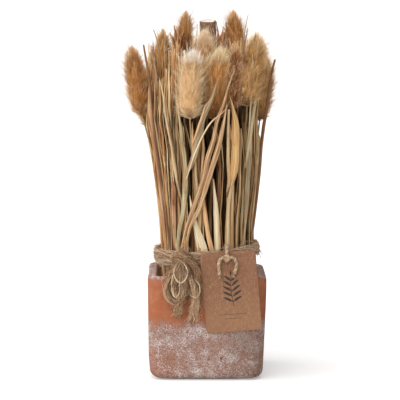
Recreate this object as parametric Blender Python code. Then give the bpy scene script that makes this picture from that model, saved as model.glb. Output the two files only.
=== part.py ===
"""A tied sheaf of dried grasses and hare's-tail heads standing in a square terracotta pot.

Metres, +Z up. The origin is the centre of the pot's underside, and the front faces -Y.
Every stem stands on the pot's floor, is gripped by a jute tie just above the rim, and flares
above it. A stem is described by its level slices, so that whatever is added later can be
kept clear of everything that already stands in the pot.
"""

import math
import random
from collections import namedtuple

import bmesh
import bpy
import numpy as np
from mathutils import Matrix, Vector

ARRANGEMENT = "arrangement"
SEED = 11
TOUCHING_GAP = 0.0003

# Pot
POT_WIDTH = 0.096
POT_HEIGHT = 0.0855
POT_FOOT_NARROWER = 0.0012
POT_CORNER_RADIUS = 0.0115
POT_LEAST_CORNER_RADIUS = 0.004
POT_WALL = 0.0080
POT_FLOOR = 0.0080
POT_FOOT_RADIUS = 0.0080
POT_RIM_RADIUS = 0.0018
POT_CORNER_STEPS = 4

# Jute tie
TIE_BOTTOM = 0.0910
TIE_TOP = 0.1070
TIE_THICKNESS = 0.0046
TIE_INNER_RADIUS = 0.0393
TIE_STEPS = 28
TIE_TWISTS = 9
TIE_TWIST_DEPTH = 0.0006
# The band's section, anticlockwise from its lower inner edge: share of the thickness outwards, and
# of half the height upwards. It bulges in two turns.
TIE_SECTION = ((0.0, -0.70), (0.55, -1.0), (0.95, -0.55), (0.80, 0.0), (0.95, 0.55), (0.55, 1.0),
               (0.0, 0.70))
KNOT_CENTRE = Vector((-0.0205, -0.0415, 0.1010))

# The bow's knot, loops and tails: sides, steps, radii along it, and the points that it follows. A
# None is the knot's centre.
BOW = {
    "knot": (8, 5, (0.0030, 0.0054, 0.0030), (
        (-0.0290, -0.0370, 0.1000), None, (-0.0120, -0.0420, 0.1000))),
    "left_loop": (5, 13, (0.0024, 0.0028, 0.0026, 0.0024, 0.0024, 0.0028), (
        None, (-0.0262, -0.0500, 0.0910), (-0.0330, -0.0514, 0.0790), (-0.0338, -0.0510, 0.0680),
        (-0.0290, -0.0510, 0.0628), (-0.0232, -0.0516, 0.0700), (-0.0208, -0.0510, 0.0860), None)),
    "right_loop": (5, 13, (0.0024, 0.0026, 0.0022, 0.0020, 0.0022, 0.0026), (
        None, (-0.0155, -0.0500, 0.0910), (-0.0105, -0.0514, 0.0800), (-0.0090, -0.0510, 0.0700),
        (-0.0122, -0.0510, 0.0632), (-0.0165, -0.0516, 0.0720), (-0.0180, -0.0510, 0.0870), None)),
    "left_tail": (6, 7, (0.0026, 0.0040, 0.0044, 0.0032, 0.0034), (
        None, (-0.0222, -0.0520, 0.0880), (-0.0215, -0.0528, 0.0740), (-0.0235, -0.0524, 0.0610),
        (-0.0255, -0.0520, 0.0510))),
    "right_tail": (6, 7, (0.0026, 0.0036, 0.0036, 0.0028, 0.0036), (
        None, (-0.0180, -0.0520, 0.0880), (-0.0140, -0.0528, 0.0730), (-0.0118, -0.0522, 0.0580),
        (-0.0122, -0.0520, 0.0465))),
}

# Tag, leaning on the pot's rim
TAG_WIDTH = 0.0450
TAG_HEIGHT = 0.0650
TAG_THICKNESS = 0.0008
TAG_CORNER_RADIUS = 0.0035
TAG_HOLE_RADIUS = 0.0025
TAG_HOLE_BELOW_TOP = 0.0062
TAG_SWING = math.radians(5.0)
TAG_HOLE_X = 0.0160
TAG_HOLE_HEIGHT = 0.0992

# Tag string: it passes behind the band in a groove, and its two ends hang from a knot on the tag
STRING_RADIUS = 0.0009
STRING_SIDES = 5
STRING_STEPS = 30
STRING_KNOT_RADIUS = 0.0019
STRING_KNOT_ABOVE_HOLE = 0.0012
STRING_GROOVE_WIDTH = 0.0034
STRING_GROOVE_DEPTH = 0.0026
GROOVE_OVERCUT = 0.0020
# Each end's points: to the side of the hole, ahead of the string's line on the tag, and above the hole
STRING_ENDS = (
    ((-0.0042, 0.0006, 0.0002), (-0.0068, 0.0003, -0.0060), (-0.0056, 0.0003, -0.0140)),
    ((0.0042, 0.0006, 0.0004), (0.0070, 0.0003, -0.0056), (0.0062, 0.0003, -0.0140)),
)

# Sheaf
TIE_HEIGHT = 0.099
SHEAF_RADIUS_AT_TIE = 0.0392
SHEAF_RADIUS_ON_FLOOR = 0.0340
SHEAF_FLARE = 0.2846
# From side to side it bulges low and leans a little to the left: its half width and the x of its
# middle, at heights from the tie upwards
SHEAF_SIDES = (
    (0.0990, 0.0392, 0.0000), (0.1160, 0.0391, -0.0006), (0.1385, 0.0405, -0.0006),
    (0.1617, 0.0441, -0.0003), (0.1843, 0.0453, -0.0010), (0.2076, 0.0464, -0.0034),
    (0.2300, 0.0475, -0.0024), (0.2600, 0.0490, -0.0015), (0.3000, 0.0510, -0.0010),
)
OUTERMOST_FRONT_SHARE = 0.97
STEM_FOOT = POT_FLOOR + TOUCHING_GAP
RING_HEIGHTS = (TIE_HEIGHT, 0.150, 0.205, 0.255)
LEAST_RING_SPACING = 0.006
SLICE_STEP = 0.003
SLICE_HEIGHTS = np.arange(STEM_FOOT, 0.301, SLICE_STEP)
MOST_SHARE = 0.955
GRIPPED_SHARE = 0.915
STRAIGHT_BELOW = 0.060
CLEAR_BETWEEN = 0.00045

# Thick cut stalk in the middle
STALK_RADIUS = 0.0068
STALK_TOP = 0.2918
STALK_PLACE = (0.0008, 0.0120)
STALK_SIDES = 14
STALK_PITH_DEPTH = 0.0012
STALK_RIND = 0.0009
STALK_LEAN = 0.0015

# Hare's-tail heads: tip and base of the head, and its radius over the awns. The first nine are
# those seen from the front, and the rest stand at the back and sides.
HARE_TAILS = (
    ((-0.0620, -0.0050, 0.2714), (-0.0534, -0.0050, 0.2140), 0.0096),
    ((-0.0362, 0.0080, 0.2846), (-0.0380, 0.0080, 0.2360), 0.0078),
    ((-0.0172, 0.0010, 0.2990), (-0.0189, 0.0010, 0.2552), 0.0070),
    ((-0.0113, -0.0465, 0.2685), (-0.0137, -0.0455, 0.2135), 0.0100),
    ((0.0103, -0.0385, 0.2705), (0.0068, -0.0380, 0.2123), 0.0098),
    ((-0.0017, -0.0205, 0.2838), (-0.0008, -0.0205, 0.2418), 0.0080),
    ((0.0214, 0.0020, 0.2999), (0.0256, 0.0020, 0.2552), 0.0080),
    ((0.0402, -0.0290, 0.2823), (0.0325, -0.0290, 0.2227), 0.0108),
    ((0.0500, -0.0030, 0.2613), (0.0436, -0.0020, 0.2096), 0.0090),
    ((0.0460, 0.0290, 0.2760), (0.0385, 0.0250, 0.2220), 0.0092),
    ((0.0180, 0.0440, 0.2690), (0.0160, 0.0420, 0.2130), 0.0098),
    ((-0.0090, 0.0360, 0.2745), (-0.0080, 0.0330, 0.2250), 0.0085),
    ((-0.0300, 0.0460, 0.2620), (-0.0270, 0.0430, 0.2060), 0.0096),
    ((-0.0560, 0.0240, 0.2560), (-0.0480, 0.0210, 0.2030), 0.0092),
    ((-0.0050, 0.0560, 0.2650), (-0.0045, 0.0520, 0.2100), 0.0090),
)
HARE_TAIL_POINTS = 10
HARE_TAIL_RINGS = 8
HARE_TAIL_CORE = 0.58
HARE_TAIL_AWN_RISE = 0.0048
HEAD_STEM_RADIUS = 0.0008
HEAD_NECK = 0.0010
HEAD_FILLED = 0.93

# Brown bristly seed plumes: tip, base and radius over the bristles
SEED_PLUMES = (
    ((0.0186, -0.0250, 0.2640), (0.0200, -0.0235, 0.2180), 0.0056),
    ((-0.0240, 0.0230, 0.2840), (-0.0225, 0.0215, 0.2330), 0.0055),
)
PLUME_POINTS = 8
PLUME_RINGS = 10
PLUME_CORE = 0.42
PLUME_BRISTLE_RISE = 0.0030

# Brown papery husk sprays: where each stands in the sheaf, as shares of its radius, and its top
HUSK_SPRAYS = (
    ((-0.450, -0.150), 0.2860),
    ((0.215, -0.110), 0.2800),
    ((0.420, 0.420), 0.2860),
)
HUSKS_EACH = 6
HUSK_ZONE = 0.046
HUSK_LENGTH = 0.017
HUSK_SPREAD = 0.0042
HUSK_HALF_WIDTH = 0.0014
HUSK_TURN = 2.4
HUSK_ROOM = 0.0048

# Leafy stems. Places are tried round the sheaf by the golden angle, the outermost first. Shares are of
# the sheaf's radius.
LEAFY_STEMS = 25
PLACES_TRIED = 40
OUTERMOST_PLACE = 0.93
PLACE_SPREADS = (0.07, 0.10, 0.14, 0.20, 0.28)
CULM_RADIUS = 0.0013
CULM_SIDES = 5
CULM_TOPS = (0.170, 0.270)
CULM_STRAIGHT_TO = 0.160
LEAVES_EACH = 5
FEWEST_LEAVES = 3
LEAF_TRIES = 220
LEAF_REACH = 0.24
LOWEST_LEAF_ROOT = 0.014
LEAF_ROOT_STEP = 0.007
LEAVES_PART_ABOVE = 0.050
LEAF_HALF_THICKNESS = 0.00035
LEAF_LEAST_HALF_WIDTH = 0.0004
LEAF_HALF_WIDTHS = (0.0012, 0.0026)
LEAF_HALF_WIDTH_AT_ROOT = 0.0012
LEAF_LOWEST_TOP = 0.228
LEAF_HIGHEST_TOP = 0.298
LEAF_TOP_DROP = 0.028
LEAF_DRIFT = 0.13
LEAF_SWAY = 0.025
LEAF_TURN = 0.50
LEAF_TWIST = 0.35

# Stems and leaves that show singly at the front. Each is (x, height, width) from the tie upwards,
# laid on the sheaf's front surface: inside it under the tie, and this far outside it above.
LIFT_AT_TIE = -0.0006
LIFT_STARTS, LIFT_ENDS = 0.112, 0.130
FRONT_STALK_SIDES = 7
IN_POT_SHARE = 0.97
IN_POT_HALF_WIDTH = 0.0016
FRONT_PIECES = {
    "cream_sheath": ("leaf", "cream", 0.0004, (
        (-0.0030, 0.1030, 0.0080), (-0.0070, 0.1166, 0.0074), (-0.0108, 0.1297, 0.0046),
        (-0.0140, 0.1502, 0.0014))),
    "cream_stalk": ("stalk", "cream", 0.0010, (
        (0.0086, 0.1034, 0.0060), (0.0081, 0.1216, 0.0060), (0.0070, 0.1405, 0.0052),
        (0.0058, 0.1545, 0.0028), (0.0050, 0.1640, 0.0014))),
    "knotty_stem": ("stalk", "knotty_stem", 0.0020, (
        (0.0174, 0.1029, 0.0036), (0.0168, 0.1253, 0.0036), (0.0174, 0.1475, 0.0040),
        (0.0178, 0.1540, 0.0054), (0.0180, 0.1620, 0.0044), (0.0170, 0.1800, 0.0038),
        (0.0168, 0.2000, 0.0034), (0.0172, 0.2200, 0.0028))),
    "crossing_leaf_left": ("leaf", "crossing_leaf", 0.0032, (
        (-0.0212, 0.1030, 0.0022), (-0.0195, 0.1110, 0.0024), (-0.0162, 0.1260, 0.0028),
        (-0.0124, 0.1372, 0.0032), (-0.0085, 0.1480, 0.0042), (-0.0028, 0.1633, 0.0050),
        (0.0009, 0.1819, 0.0052), (0.0046, 0.1932, 0.0044), (0.0083, 0.2118, 0.0028),
        (0.0128, 0.2228, 0.0022), (0.0171, 0.2385, 0.0018), (0.0223, 0.2542, 0.0014))),
    "crossing_leaf_right": ("leaf", "crossing_leaf", 0.0050, (
        (-0.0184, 0.1030, 0.0022), (-0.0166, 0.1110, 0.0024), (-0.0134, 0.1260, 0.0028),
        (-0.0065, 0.1409, 0.0036), (-0.0006, 0.1596, 0.0046), (0.0053, 0.1782, 0.0050),
        (0.0098, 0.1932, 0.0042), (0.0128, 0.2080, 0.0030), (0.0144, 0.2170, 0.0022),
        (0.0158, 0.2255, 0.0014))),
    "broad_brown_leaf": ("leaf", "broad_brown_leaf", 0.0010, (
        (-0.0335, 0.1030, 0.0030), (-0.0370, 0.1350, 0.0036), (-0.0405, 0.1700, 0.0034),
        (-0.0440, 0.2000, 0.0044), (-0.0466, 0.2230, 0.0064), (-0.0462, 0.2400, 0.0046),
        (-0.0448, 0.2560, 0.0014))),
    "olive_leaf": ("leaf", "olive_leaf", 0.0018, (
        (-0.0248, 0.1039, 0.0032), (-0.0228, 0.1223, 0.0042), (-0.0202, 0.1373, 0.0050),
        (-0.0187, 0.1522, 0.0050), (-0.0178, 0.1670, 0.0044), (-0.0191, 0.1819, 0.0040),
        (-0.0210, 0.1968, 0.0032), (-0.0224, 0.2118, 0.0024), (-0.0236, 0.2250, 0.0014))),
    "grey_leaf": ("leaf", "grey_leaf", 0.0018, (
        (0.0300, 0.1030, 0.0026), (0.0322, 0.1350, 0.0032), (0.0338, 0.1600, 0.0052),
        (0.0345, 0.1740, 0.0062), (0.0347, 0.1870, 0.0060), (0.0356, 0.2030, 0.0048),
        (0.0372, 0.2150, 0.0032), (0.0388, 0.2245, 0.0014))),
    "brown_twig_left": ("stalk", "brown_twig", 0.0052, (
        (-0.0300, 0.1030, 0.0018), (-0.0345, 0.1400, 0.0022), (-0.0395, 0.1750, 0.0024),
        (-0.0446, 0.2178, 0.0026), (-0.0468, 0.2464, 0.0024), (-0.0491, 0.2584, 0.0022),
        (-0.0515, 0.2713, 0.0016))),
    "brown_twig_right": ("stalk", "brown_twig", 0.0042, (
        (0.0362, 0.1030, 0.0018), (0.0402, 0.1400, 0.0024), (0.0434, 0.1723, 0.0028),
        (0.0446, 0.1884, 0.0032), (0.0462, 0.2020, 0.0034), (0.0482, 0.2150, 0.0034),
        (0.0501, 0.2287, 0.0030), (0.0523, 0.2463, 0.0024), (0.0556, 0.2594, 0.0018))),
}
# Leaves that grow out of one of those, and how much further out they lie
SIDE_LEAVES = {
    "knotty_stem": (0.0008, (
        (0.0178, 0.1540, 0.0030), (0.0216, 0.1661, 0.0058), (0.0230, 0.1866, 0.0066),
        (0.0232, 0.2030, 0.0060), (0.0224, 0.2120, 0.0048), (0.0202, 0.2230, 0.0034),
        (0.0180, 0.2316, 0.0014))),
    "olive_leaf": (0.0008, (
        (-0.0180, 0.1640, 0.0020), (-0.0122, 0.1794, 0.0052), (-0.0097, 0.1895, 0.0062),
        (-0.0058, 0.2043, 0.0048), (-0.0038, 0.2118, 0.0036), (-0.0003, 0.2201, 0.0034),
        (0.0036, 0.2290, 0.0040), (0.0067, 0.2385, 0.0028), (0.0101, 0.2468, 0.0014))),
}

LEAFY_STEM_LOOKS = ("straw", "russet", "sage", "straw", "cream")
COLOURS = {
    "pot": ((0.420, 0.175, 0.095), 0.92),
    "jute_tie": ((0.340, 0.225, 0.135), 0.95),
    "tag": ((0.340, 0.180, 0.100), 0.88),
    "tag_string": ((0.480, 0.310, 0.170), 0.92),
    "cut_stalk": ((0.300, 0.180, 0.110), 0.80),
    "hare_tail": ((0.480, 0.280, 0.120), 0.95),
    "pale_hare_tail": ((0.640, 0.420, 0.220), 0.95),
    "seed_plume": ((0.240, 0.110, 0.050), 0.90),
    "husk_spray": ((0.300, 0.140, 0.060), 0.85),
    "cream": ((0.640, 0.500, 0.320), 0.70),
    "crossing_leaf": ((0.440, 0.280, 0.180), 0.75),
    "broad_brown_leaf": ((0.420, 0.240, 0.120), 0.75),
    "olive_leaf": ((0.400, 0.320, 0.170), 0.75),
    "grey_leaf": ((0.320, 0.250, 0.150), 0.78),
    "brown_twig": ((0.140, 0.070, 0.040), 0.80),
    "knotty_stem": ((0.560, 0.350, 0.170), 0.70),
    "straw": ((0.480, 0.310, 0.150), 0.75),
    "russet": ((0.330, 0.160, 0.075), 0.80),
    "sage": ((0.330, 0.270, 0.150), 0.78),
}

Strand = namedtuple("Strand", "heights left right half")


def sheaf_radius(height):
    """The sheaf's radius at a height: narrow on the floor, gripped at the tie, and flaring above it."""
    above = np.maximum(np.asarray(height, float) - TIE_HEIGHT, 0.0)
    below = np.maximum(TIE_HEIGHT - np.asarray(height, float), 0.0)
    squeeze = (SHEAF_RADIUS_AT_TIE - SHEAF_RADIUS_ON_FLOOR) / (TIE_HEIGHT - POT_FLOOR)
    return SHEAF_RADIUS_AT_TIE - squeeze * below + SHEAF_FLARE * above ** 1.5


def sheaf_sides(height):
    """The sheaf's half width from side to side, and the x of its middle, at a height."""
    if height <= TIE_HEIGHT:
        return float(sheaf_radius(height)), 0.0
    heights, widths, middles = zip(*SHEAF_SIDES)
    return float(np.interp(height, heights, widths)), float(np.interp(height, heights, middles))


def in_sheaf(share, height):
    """The place at a height that stands at these shares of the sheaf's half width and half depth."""
    width, middle = sheaf_sides(height)
    return np.array((middle + share[0] * width, share[1] * float(sheaf_radius(height))))


def smooth_through(knots, heights):
    """Values at the heights, on a smooth curve through knots of (height, value, value...)."""
    table = np.array(knots, float)
    at, values = table[:, 0], table[:, 1:]
    slopes = np.gradient(values, at, axis=0)
    i = np.clip(np.searchsorted(at, heights, side="right") - 1, 0, len(at) - 2)
    span = (at[i + 1] - at[i])[:, None]
    t = (np.asarray(heights)[:, None] - at[i][:, None]) / span
    return (
        (2 * t ** 3 - 3 * t ** 2 + 1) * values[i]
        + (t ** 3 - 2 * t ** 2 + t) * span * slopes[i]
        + (3 * t ** 2 - 2 * t ** 3) * values[i + 1]
        + (t ** 3 - t ** 2) * span * slopes[i + 1]
    )


def ring_heights(low, high, extra=()):
    """The common ring heights between low and high, with both ends and any extra ones."""
    space = LEAST_RING_SPACING
    inner = [h for h in (*RING_HEIGHTS, *extra) if low + space < h < high - space]
    return np.array(sorted({low, high, *inner}))


def round_strand(knots, radius, low, high, extra=()):
    """A round stem along knots of (height, x, y). Its radius is a number, or knots of (height, radius)."""
    heights = ring_heights(low, high, extra)
    centre = smooth_through(knots, heights)
    if np.isscalar(radius):
        half = np.full(len(heights), radius)
    else:
        half = np.interp(heights, *np.array(radius, float).T)
    return Strand(heights, centre, centre, half)


def flat_strand(knots, low, high, extra=()):
    """A blade along knots of (height, x, y, half width, direction of its width in radians)."""
    heights = ring_heights(low, high, extra)
    value = smooth_through(knots, heights)
    width = np.maximum(value[:, 2], LEAF_LEAST_HALF_WIDTH)[:, None]
    reach = width * np.stack([np.cos(value[:, 3]), np.sin(value[:, 3])], axis=1)
    half = np.full(len(heights), LEAF_HALF_THICKNESS)
    return Strand(heights, value[:, :2] - reach, value[:, :2] + reach, half)


class Standing:
    """The slices of all that stands in the pot so far, to keep new stems clear of it."""

    def __init__(self):
        self.left, self.right, self.half, self.owner = [], [], [], []

    def drop(self, owner):
        """Takes an owner's strands out again."""
        kept = [i for i, name in enumerate(self.owner) if name != owner]
        for part in (self.left, self.right, self.half, self.owner):
            part[:] = [part[i] for i in kept]

    def slices(self, strand):
        low, high = strand.heights[0] - SLICE_STEP / 2, strand.heights[-1] + SLICE_STEP / 2
        inside = (SLICE_HEIGHTS >= low) & (SLICE_HEIGHTS <= high)
        left = np.stack([np.interp(SLICE_HEIGHTS, strand.heights, strand.left[:, i]) for i in (0, 1)], 1)
        right = np.stack([np.interp(SLICE_HEIGHTS, strand.heights, strand.right[:, i]) for i in (0, 1)], 1)
        half = np.where(inside, np.interp(SLICE_HEIGHTS, strand.heights, strand.half), np.nan)
        return left, right, half

    def add(self, strand, owner):
        left, right, half = self.slices(strand)
        self.left.append(left)
        self.right.append(right)
        self.half.append(half)
        self.owner.append(owner)

    def fits(self, strand, owner, own_above=math.inf):
        """Whether a strand is clear of all the rest. Its owner's own strands count above a height."""
        if not self.owner:
            return True
        left, right, half = self.slices(strand)
        their_left, their_right, their_half = map(np.array, (self.left, self.right, self.half))
        own = np.array([name == owner for name in self.owner])
        their_half[own[:, None] & (SLICE_HEIGHTS < own_above)] = np.nan
        apart = np.linalg.norm(their_left + their_right - left - right, axis=-1) / 2
        their_width = np.linalg.norm(their_right - their_left, axis=-1)
        own_width = np.linalg.norm(right - left, axis=-1)
        reach = (their_width + own_width) / 2
        near = (apart - reach - their_half - half < CLEAR_BETWEEN).any(axis=1)
        if not near.any():
            return True
        their_left, their_right = their_left[near], their_right[near]
        both = their_half[near] + half
        shares = np.linspace(0.0, 1.0, 5)[:, None, None]
        mine = left + shares * (right - left)
        theirs = their_left + shares[:, None] * (their_right - their_left)
        here = to_segment(mine[:, None], their_left, their_right).min(axis=0)
        there = to_segment(theirs, left, right).min(axis=0)
        return not (np.minimum(here, there) - both < CLEAR_BETWEEN).any()


def to_segment(point, start, end):
    """How far each point lies from each level segment."""
    along = end - start
    length2 = np.maximum((along ** 2).sum(-1), 1e-12)
    t = np.clip(((point - start) * along).sum(-1) / length2, 0.0, 1.0)
    return np.linalg.norm(point - start - t[..., None] * along, axis=-1)


def new_object(name, bm):
    """An object with this bmesh's shape, its faces pointing out."""
    bmesh.ops.recalc_face_normals(bm, faces=bm.faces)
    mesh = bpy.data.meshes.new(name)
    bm.to_mesh(mesh)
    bm.free()
    obj = bpy.data.objects.new(name, mesh)
    bpy.context.scene.collection.objects.link(obj)
    return obj


def skin(bm, low, high, flip=False):
    """Triangles between two rings of as many points, split one way or the other."""
    count = len(low)
    for i in range(count):
        a, b, c, d = low[i], low[(i + 1) % count], high[(i + 1) % count], high[i]
        other_way = flip and i >= count // 2
        for corners in ((a, b, d), (b, c, d)) if other_way else ((a, b, c), (a, c, d)):
            bm.faces.new(corners)


def swept(name, rings, alike=False):
    """A closed solid through rings of points, with flat ends. With alike, opposite faces split alike."""
    bm = bmesh.new()
    made = [[bm.verts.new(p) for p in ring] for ring in rings]
    for low, high in zip(made, made[1:]):
        skin(bm, low, high, flip=alike)
    bm.faces.new(reversed(made[0]))
    bm.faces.new(made[-1])
    return new_object(name, bm)


def blade(name, strand):
    """A thin blade through its slices, rectangular in section."""
    rings = []
    for height, left, right, half in zip(*strand):
        along = (right - left) / np.linalg.norm(right - left)
        across = np.array([-along[1], along[0]]) * half
        corners = (left + across, right + across, right - across, left - across)
        rings.append([(*corner, height) for corner in corners])
    return swept(name, rings, alike=True)


def stem(name, strand, sides=CULM_SIDES, turn=0.0):
    """A round stem through its slices."""
    rings = []
    for height, centre, _, radius in zip(*strand):
        angles = [turn + math.tau * i / sides for i in range(sides)]
        rings.append([(centre[0] + radius * math.cos(a), centre[1] + radius * math.sin(a), height)
                      for a in angles])
    return swept(name, rings)


def apply_boolean(base, operation, others):
    """Joins or cuts the others into the base by one Boolean, and removes them."""
    group = bpy.data.collections.new("operands")
    for other in others:
        group.objects.link(other)
    modifier = base.modifiers.new("shape", "BOOLEAN")
    modifier.operation = operation
    modifier.operand_type = "COLLECTION"
    modifier.collection = group
    graph = bpy.context.evaluated_depsgraph_get()
    shaped = bpy.data.meshes.new_from_object(base.evaluated_get(graph))
    base.modifiers.clear()
    base.data = shaped
    for other in others:
        bpy.data.objects.remove(other)
    bpy.data.collections.remove(group)


def finish(obj, look, origin=(0.0, 0.0, 0.0)):
    """Gives the object its material, its own origin and its parent, and shades round edges smooth."""
    colour, roughness = COLOURS[look]
    material = bpy.data.materials.new(obj.name)
    material.use_nodes = True
    shader = material.node_tree.nodes["Principled BSDF"]
    shader.inputs["Base Color"].default_value = (*colour, 1.0)
    shader.inputs["Roughness"].default_value = roughness
    shader.inputs["Metallic"].default_value = 0.0
    obj.data.materials.clear()
    obj.data.materials.append(material)
    obj.data.shade_smooth()
    obj.data.set_sharp_from_angle(angle=math.radians(40))
    obj.data.transform(Matrix.Translation(-Vector(origin)))
    obj.location = origin
    obj.parent = bpy.data.objects[ARRANGEMENT]


def rounded_square(half, corner, height):
    """The points of a level rounded square, counter-clockwise."""
    points = []
    for quarter in range(4):
        turn = math.radians(90 * quarter)
        middle = Vector((half - corner, half - corner, 0.0))
        for step in range(POT_CORNER_STEPS + 1):
            angle = math.radians(90) * step / POT_CORNER_STEPS
            point = middle + corner * Vector((math.cos(angle), math.sin(angle), 0.0))
            point.rotate(Matrix.Rotation(turn, 3, "Z"))
            points.append((point.x, point.y, height))
    return points


def arc(centre, radius, start, end, steps):
    """Points of a circular arc in the (half width, height) plane, by angles in degrees."""
    angles = [math.radians(start + (end - start) * i / steps) for i in range(steps + 1)]
    return [(centre[0] + radius * math.cos(a), centre[1] + radius * math.sin(a)) for a in angles]


def make_pot():
    """The pot's wall and floor, from its outline turned round a rounded square."""
    half = POT_WIDTH / 2
    foot_half = half - POT_FOOT_NARROWER
    inner = half - POT_WALL
    inner_foot = foot_half - POT_WALL
    rim, fillet = POT_RIM_RADIUS, POT_LEAST_CORNER_RADIUS
    outline = [
        *arc((foot_half - POT_FOOT_RADIUS, POT_FOOT_RADIUS), POT_FOOT_RADIUS, -90, 0, 5),
        *arc((half - rim, POT_HEIGHT - rim), rim, 0, 90, 3),
        *arc((inner + rim, POT_HEIGHT - rim), rim, 90, 180, 3),
        *arc((inner_foot - fillet, POT_FLOOR + fillet), fillet, 0, -90, 2),
    ]
    rings = []
    for out, height in outline:
        corner = max(POT_CORNER_RADIUS - (half - out), POT_LEAST_CORNER_RADIUS)
        rings.append(rounded_square(out, corner, height))
    finish(swept("pot", rings), "pot")


def tube(name, points, radii, sides, steps):
    """A closed tube along a smooth curve through points, its radius read from radii on the way."""
    points = [Vector(p) for p in points]
    at = np.linspace(0.0, 1.0, len(points))
    shares = np.linspace(0.0, 1.0, steps + 1)
    knots = [(share, *point) for share, point in zip(at, points)]
    line = [Vector(p) for p in smooth_through(knots, shares)]
    widths = np.interp(shares, np.linspace(0.0, 1.0, len(radii)), radii)
    rings, side = [], Vector((1.0, 0.0, 0.0))
    for i, centre in enumerate(line):
        along = (line[min(i + 1, steps)] - line[max(i - 1, 0)]).normalized()
        side = (side - side.dot(along) * along).normalized()
        other = along.cross(side)
        angles = [math.tau * k / sides for k in range(sides)]
        width = float(widths[i])
        rings.append([centre + width * (math.cos(a) * side + math.sin(a) * other) for a in angles])
    return swept(name, rings)


def make_ring():
    """The tie's band: two turns of loose jute, flattened against the sheaf, with a twist along it."""
    middle = (TIE_TOP + TIE_BOTTOM) / 2
    rise = (TIE_TOP - TIE_BOTTOM) / 2
    bm = bmesh.new()
    rings = []
    for step in range(TIE_STEPS):
        angle = math.tau * step / TIE_STEPS
        ring = []
        for out, up in TIE_SECTION:
            twist = TIE_TWIST_DEPTH * math.cos(TIE_TWISTS * angle + 2.4 * up) if out else 0.0
            radius = (TIE_INNER_RADIUS + out * TIE_THICKNESS + twist) / math.cos(math.pi / TIE_STEPS)
            x = radius * math.cos(angle)
            y = radius * math.sin(angle)
            ring.append(bm.verts.new((x, y, middle + up * rise)))
        rings.append(ring)
    for low, high in zip(rings, rings[1:] + rings[:1]):
        skin(bm, low, high)
    return new_object("jute_tie", bm)


def make_tie():
    """The band with its knot, its hanging bow loops and its two tails, one length of jute."""
    bow = []
    for name, (sides, steps, radii, points) in BOW.items():
        points = [KNOT_CENTRE if point is None else point for point in points]
        bow.append(tube(name, points, radii, sides, steps))
    tie = make_ring()
    apply_boolean(tie, "UNION", bow)
    across = tag_direction()
    middle = across * (TIE_INNER_RADIUS + (STRING_GROOVE_DEPTH - GROOVE_OVERCUT) / 2)
    middle.z = (TIE_TOP + TIE_BOTTOM) / 2
    size = (STRING_GROOVE_DEPTH + GROOVE_OVERCUT, STRING_GROOVE_WIDTH, TIE_TOP - TIE_BOTTOM + GROOVE_OVERCUT)
    bm = bmesh.new()
    bmesh.ops.create_cube(bm, size=1.0)
    bmesh.ops.scale(bm, vec=size, verts=bm.verts)
    bmesh.ops.rotate(bm, verts=bm.verts, matrix=Matrix.Rotation(math.atan2(across.y, across.x), 3, "Z"))
    bmesh.ops.translate(bm, vec=middle, verts=bm.verts)
    apply_boolean(tie, "DIFFERENCE", [new_object("string_groove", bm)])
    finish(tie, "jute_tie", KNOT_CENTRE)


def tag_direction():
    """The level direction from the sheaf's middle to where the tag's string goes round the tie."""
    reach = TIE_INNER_RADIUS + TIE_THICKNESS
    return Vector((TAG_HOLE_X, -math.sqrt(reach ** 2 - TAG_HOLE_X ** 2), 0.0)).normalized()


def make_tag():
    """The kraft card with its punched hole. Its object's origin is the hole's middle."""
    bm = bmesh.new()
    corner, steps = TAG_CORNER_RADIUS, 4
    top, bottom = TAG_HOLE_BELOW_TOP, TAG_HOLE_BELOW_TOP - TAG_HEIGHT
    half = TAG_WIDTH / 2
    outline = []
    for middle_x, middle_z, start in (
        (half - corner, top - corner, 0), (corner - half, top - corner, 90),
        (corner - half, bottom + corner, 180), (half - corner, bottom + corner, 270),
    ):
        for step in range(steps + 1):
            angle = math.radians(start + 90 * step / steps)
            outline.append((middle_x + corner * math.cos(angle), middle_z + corner * math.sin(angle)))
    front = [bm.verts.new((x, -TAG_THICKNESS / 2, z)) for x, z in outline]
    face = bm.faces.new(front)
    pushed = bmesh.ops.extrude_face_region(bm, geom=[face])
    moved = [v for v in pushed["geom"] if isinstance(v, bmesh.types.BMVert)]
    bmesh.ops.translate(bm, vec=(0.0, TAG_THICKNESS, 0.0), verts=moved)
    tag = new_object("tag", bm)
    bm = bmesh.new()
    bmesh.ops.create_cone(bm, cap_ends=True, segments=16, radius1=TAG_HOLE_RADIUS,
                          radius2=TAG_HOLE_RADIUS, depth=10 * TAG_THICKNESS)
    bmesh.ops.rotate(bm, verts=bm.verts, matrix=Matrix.Rotation(math.radians(90), 3, "X"))
    apply_boolean(tag, "DIFFERENCE", [new_object("punch", bm)])
    finish(tag, "tag")
    tag.location = (TAG_HOLE_X, tag_plane(), TAG_HOLE_HEIGHT)
    tag.rotation_euler = (0.0, -TAG_SWING, 0.0)


def tag_plane():
    """How far forward the tag's middle plane is: it leans on the pot's front."""
    return -(POT_WIDTH / 2 + TOUCHING_GAP + TAG_THICKNESS / 2)


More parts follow.
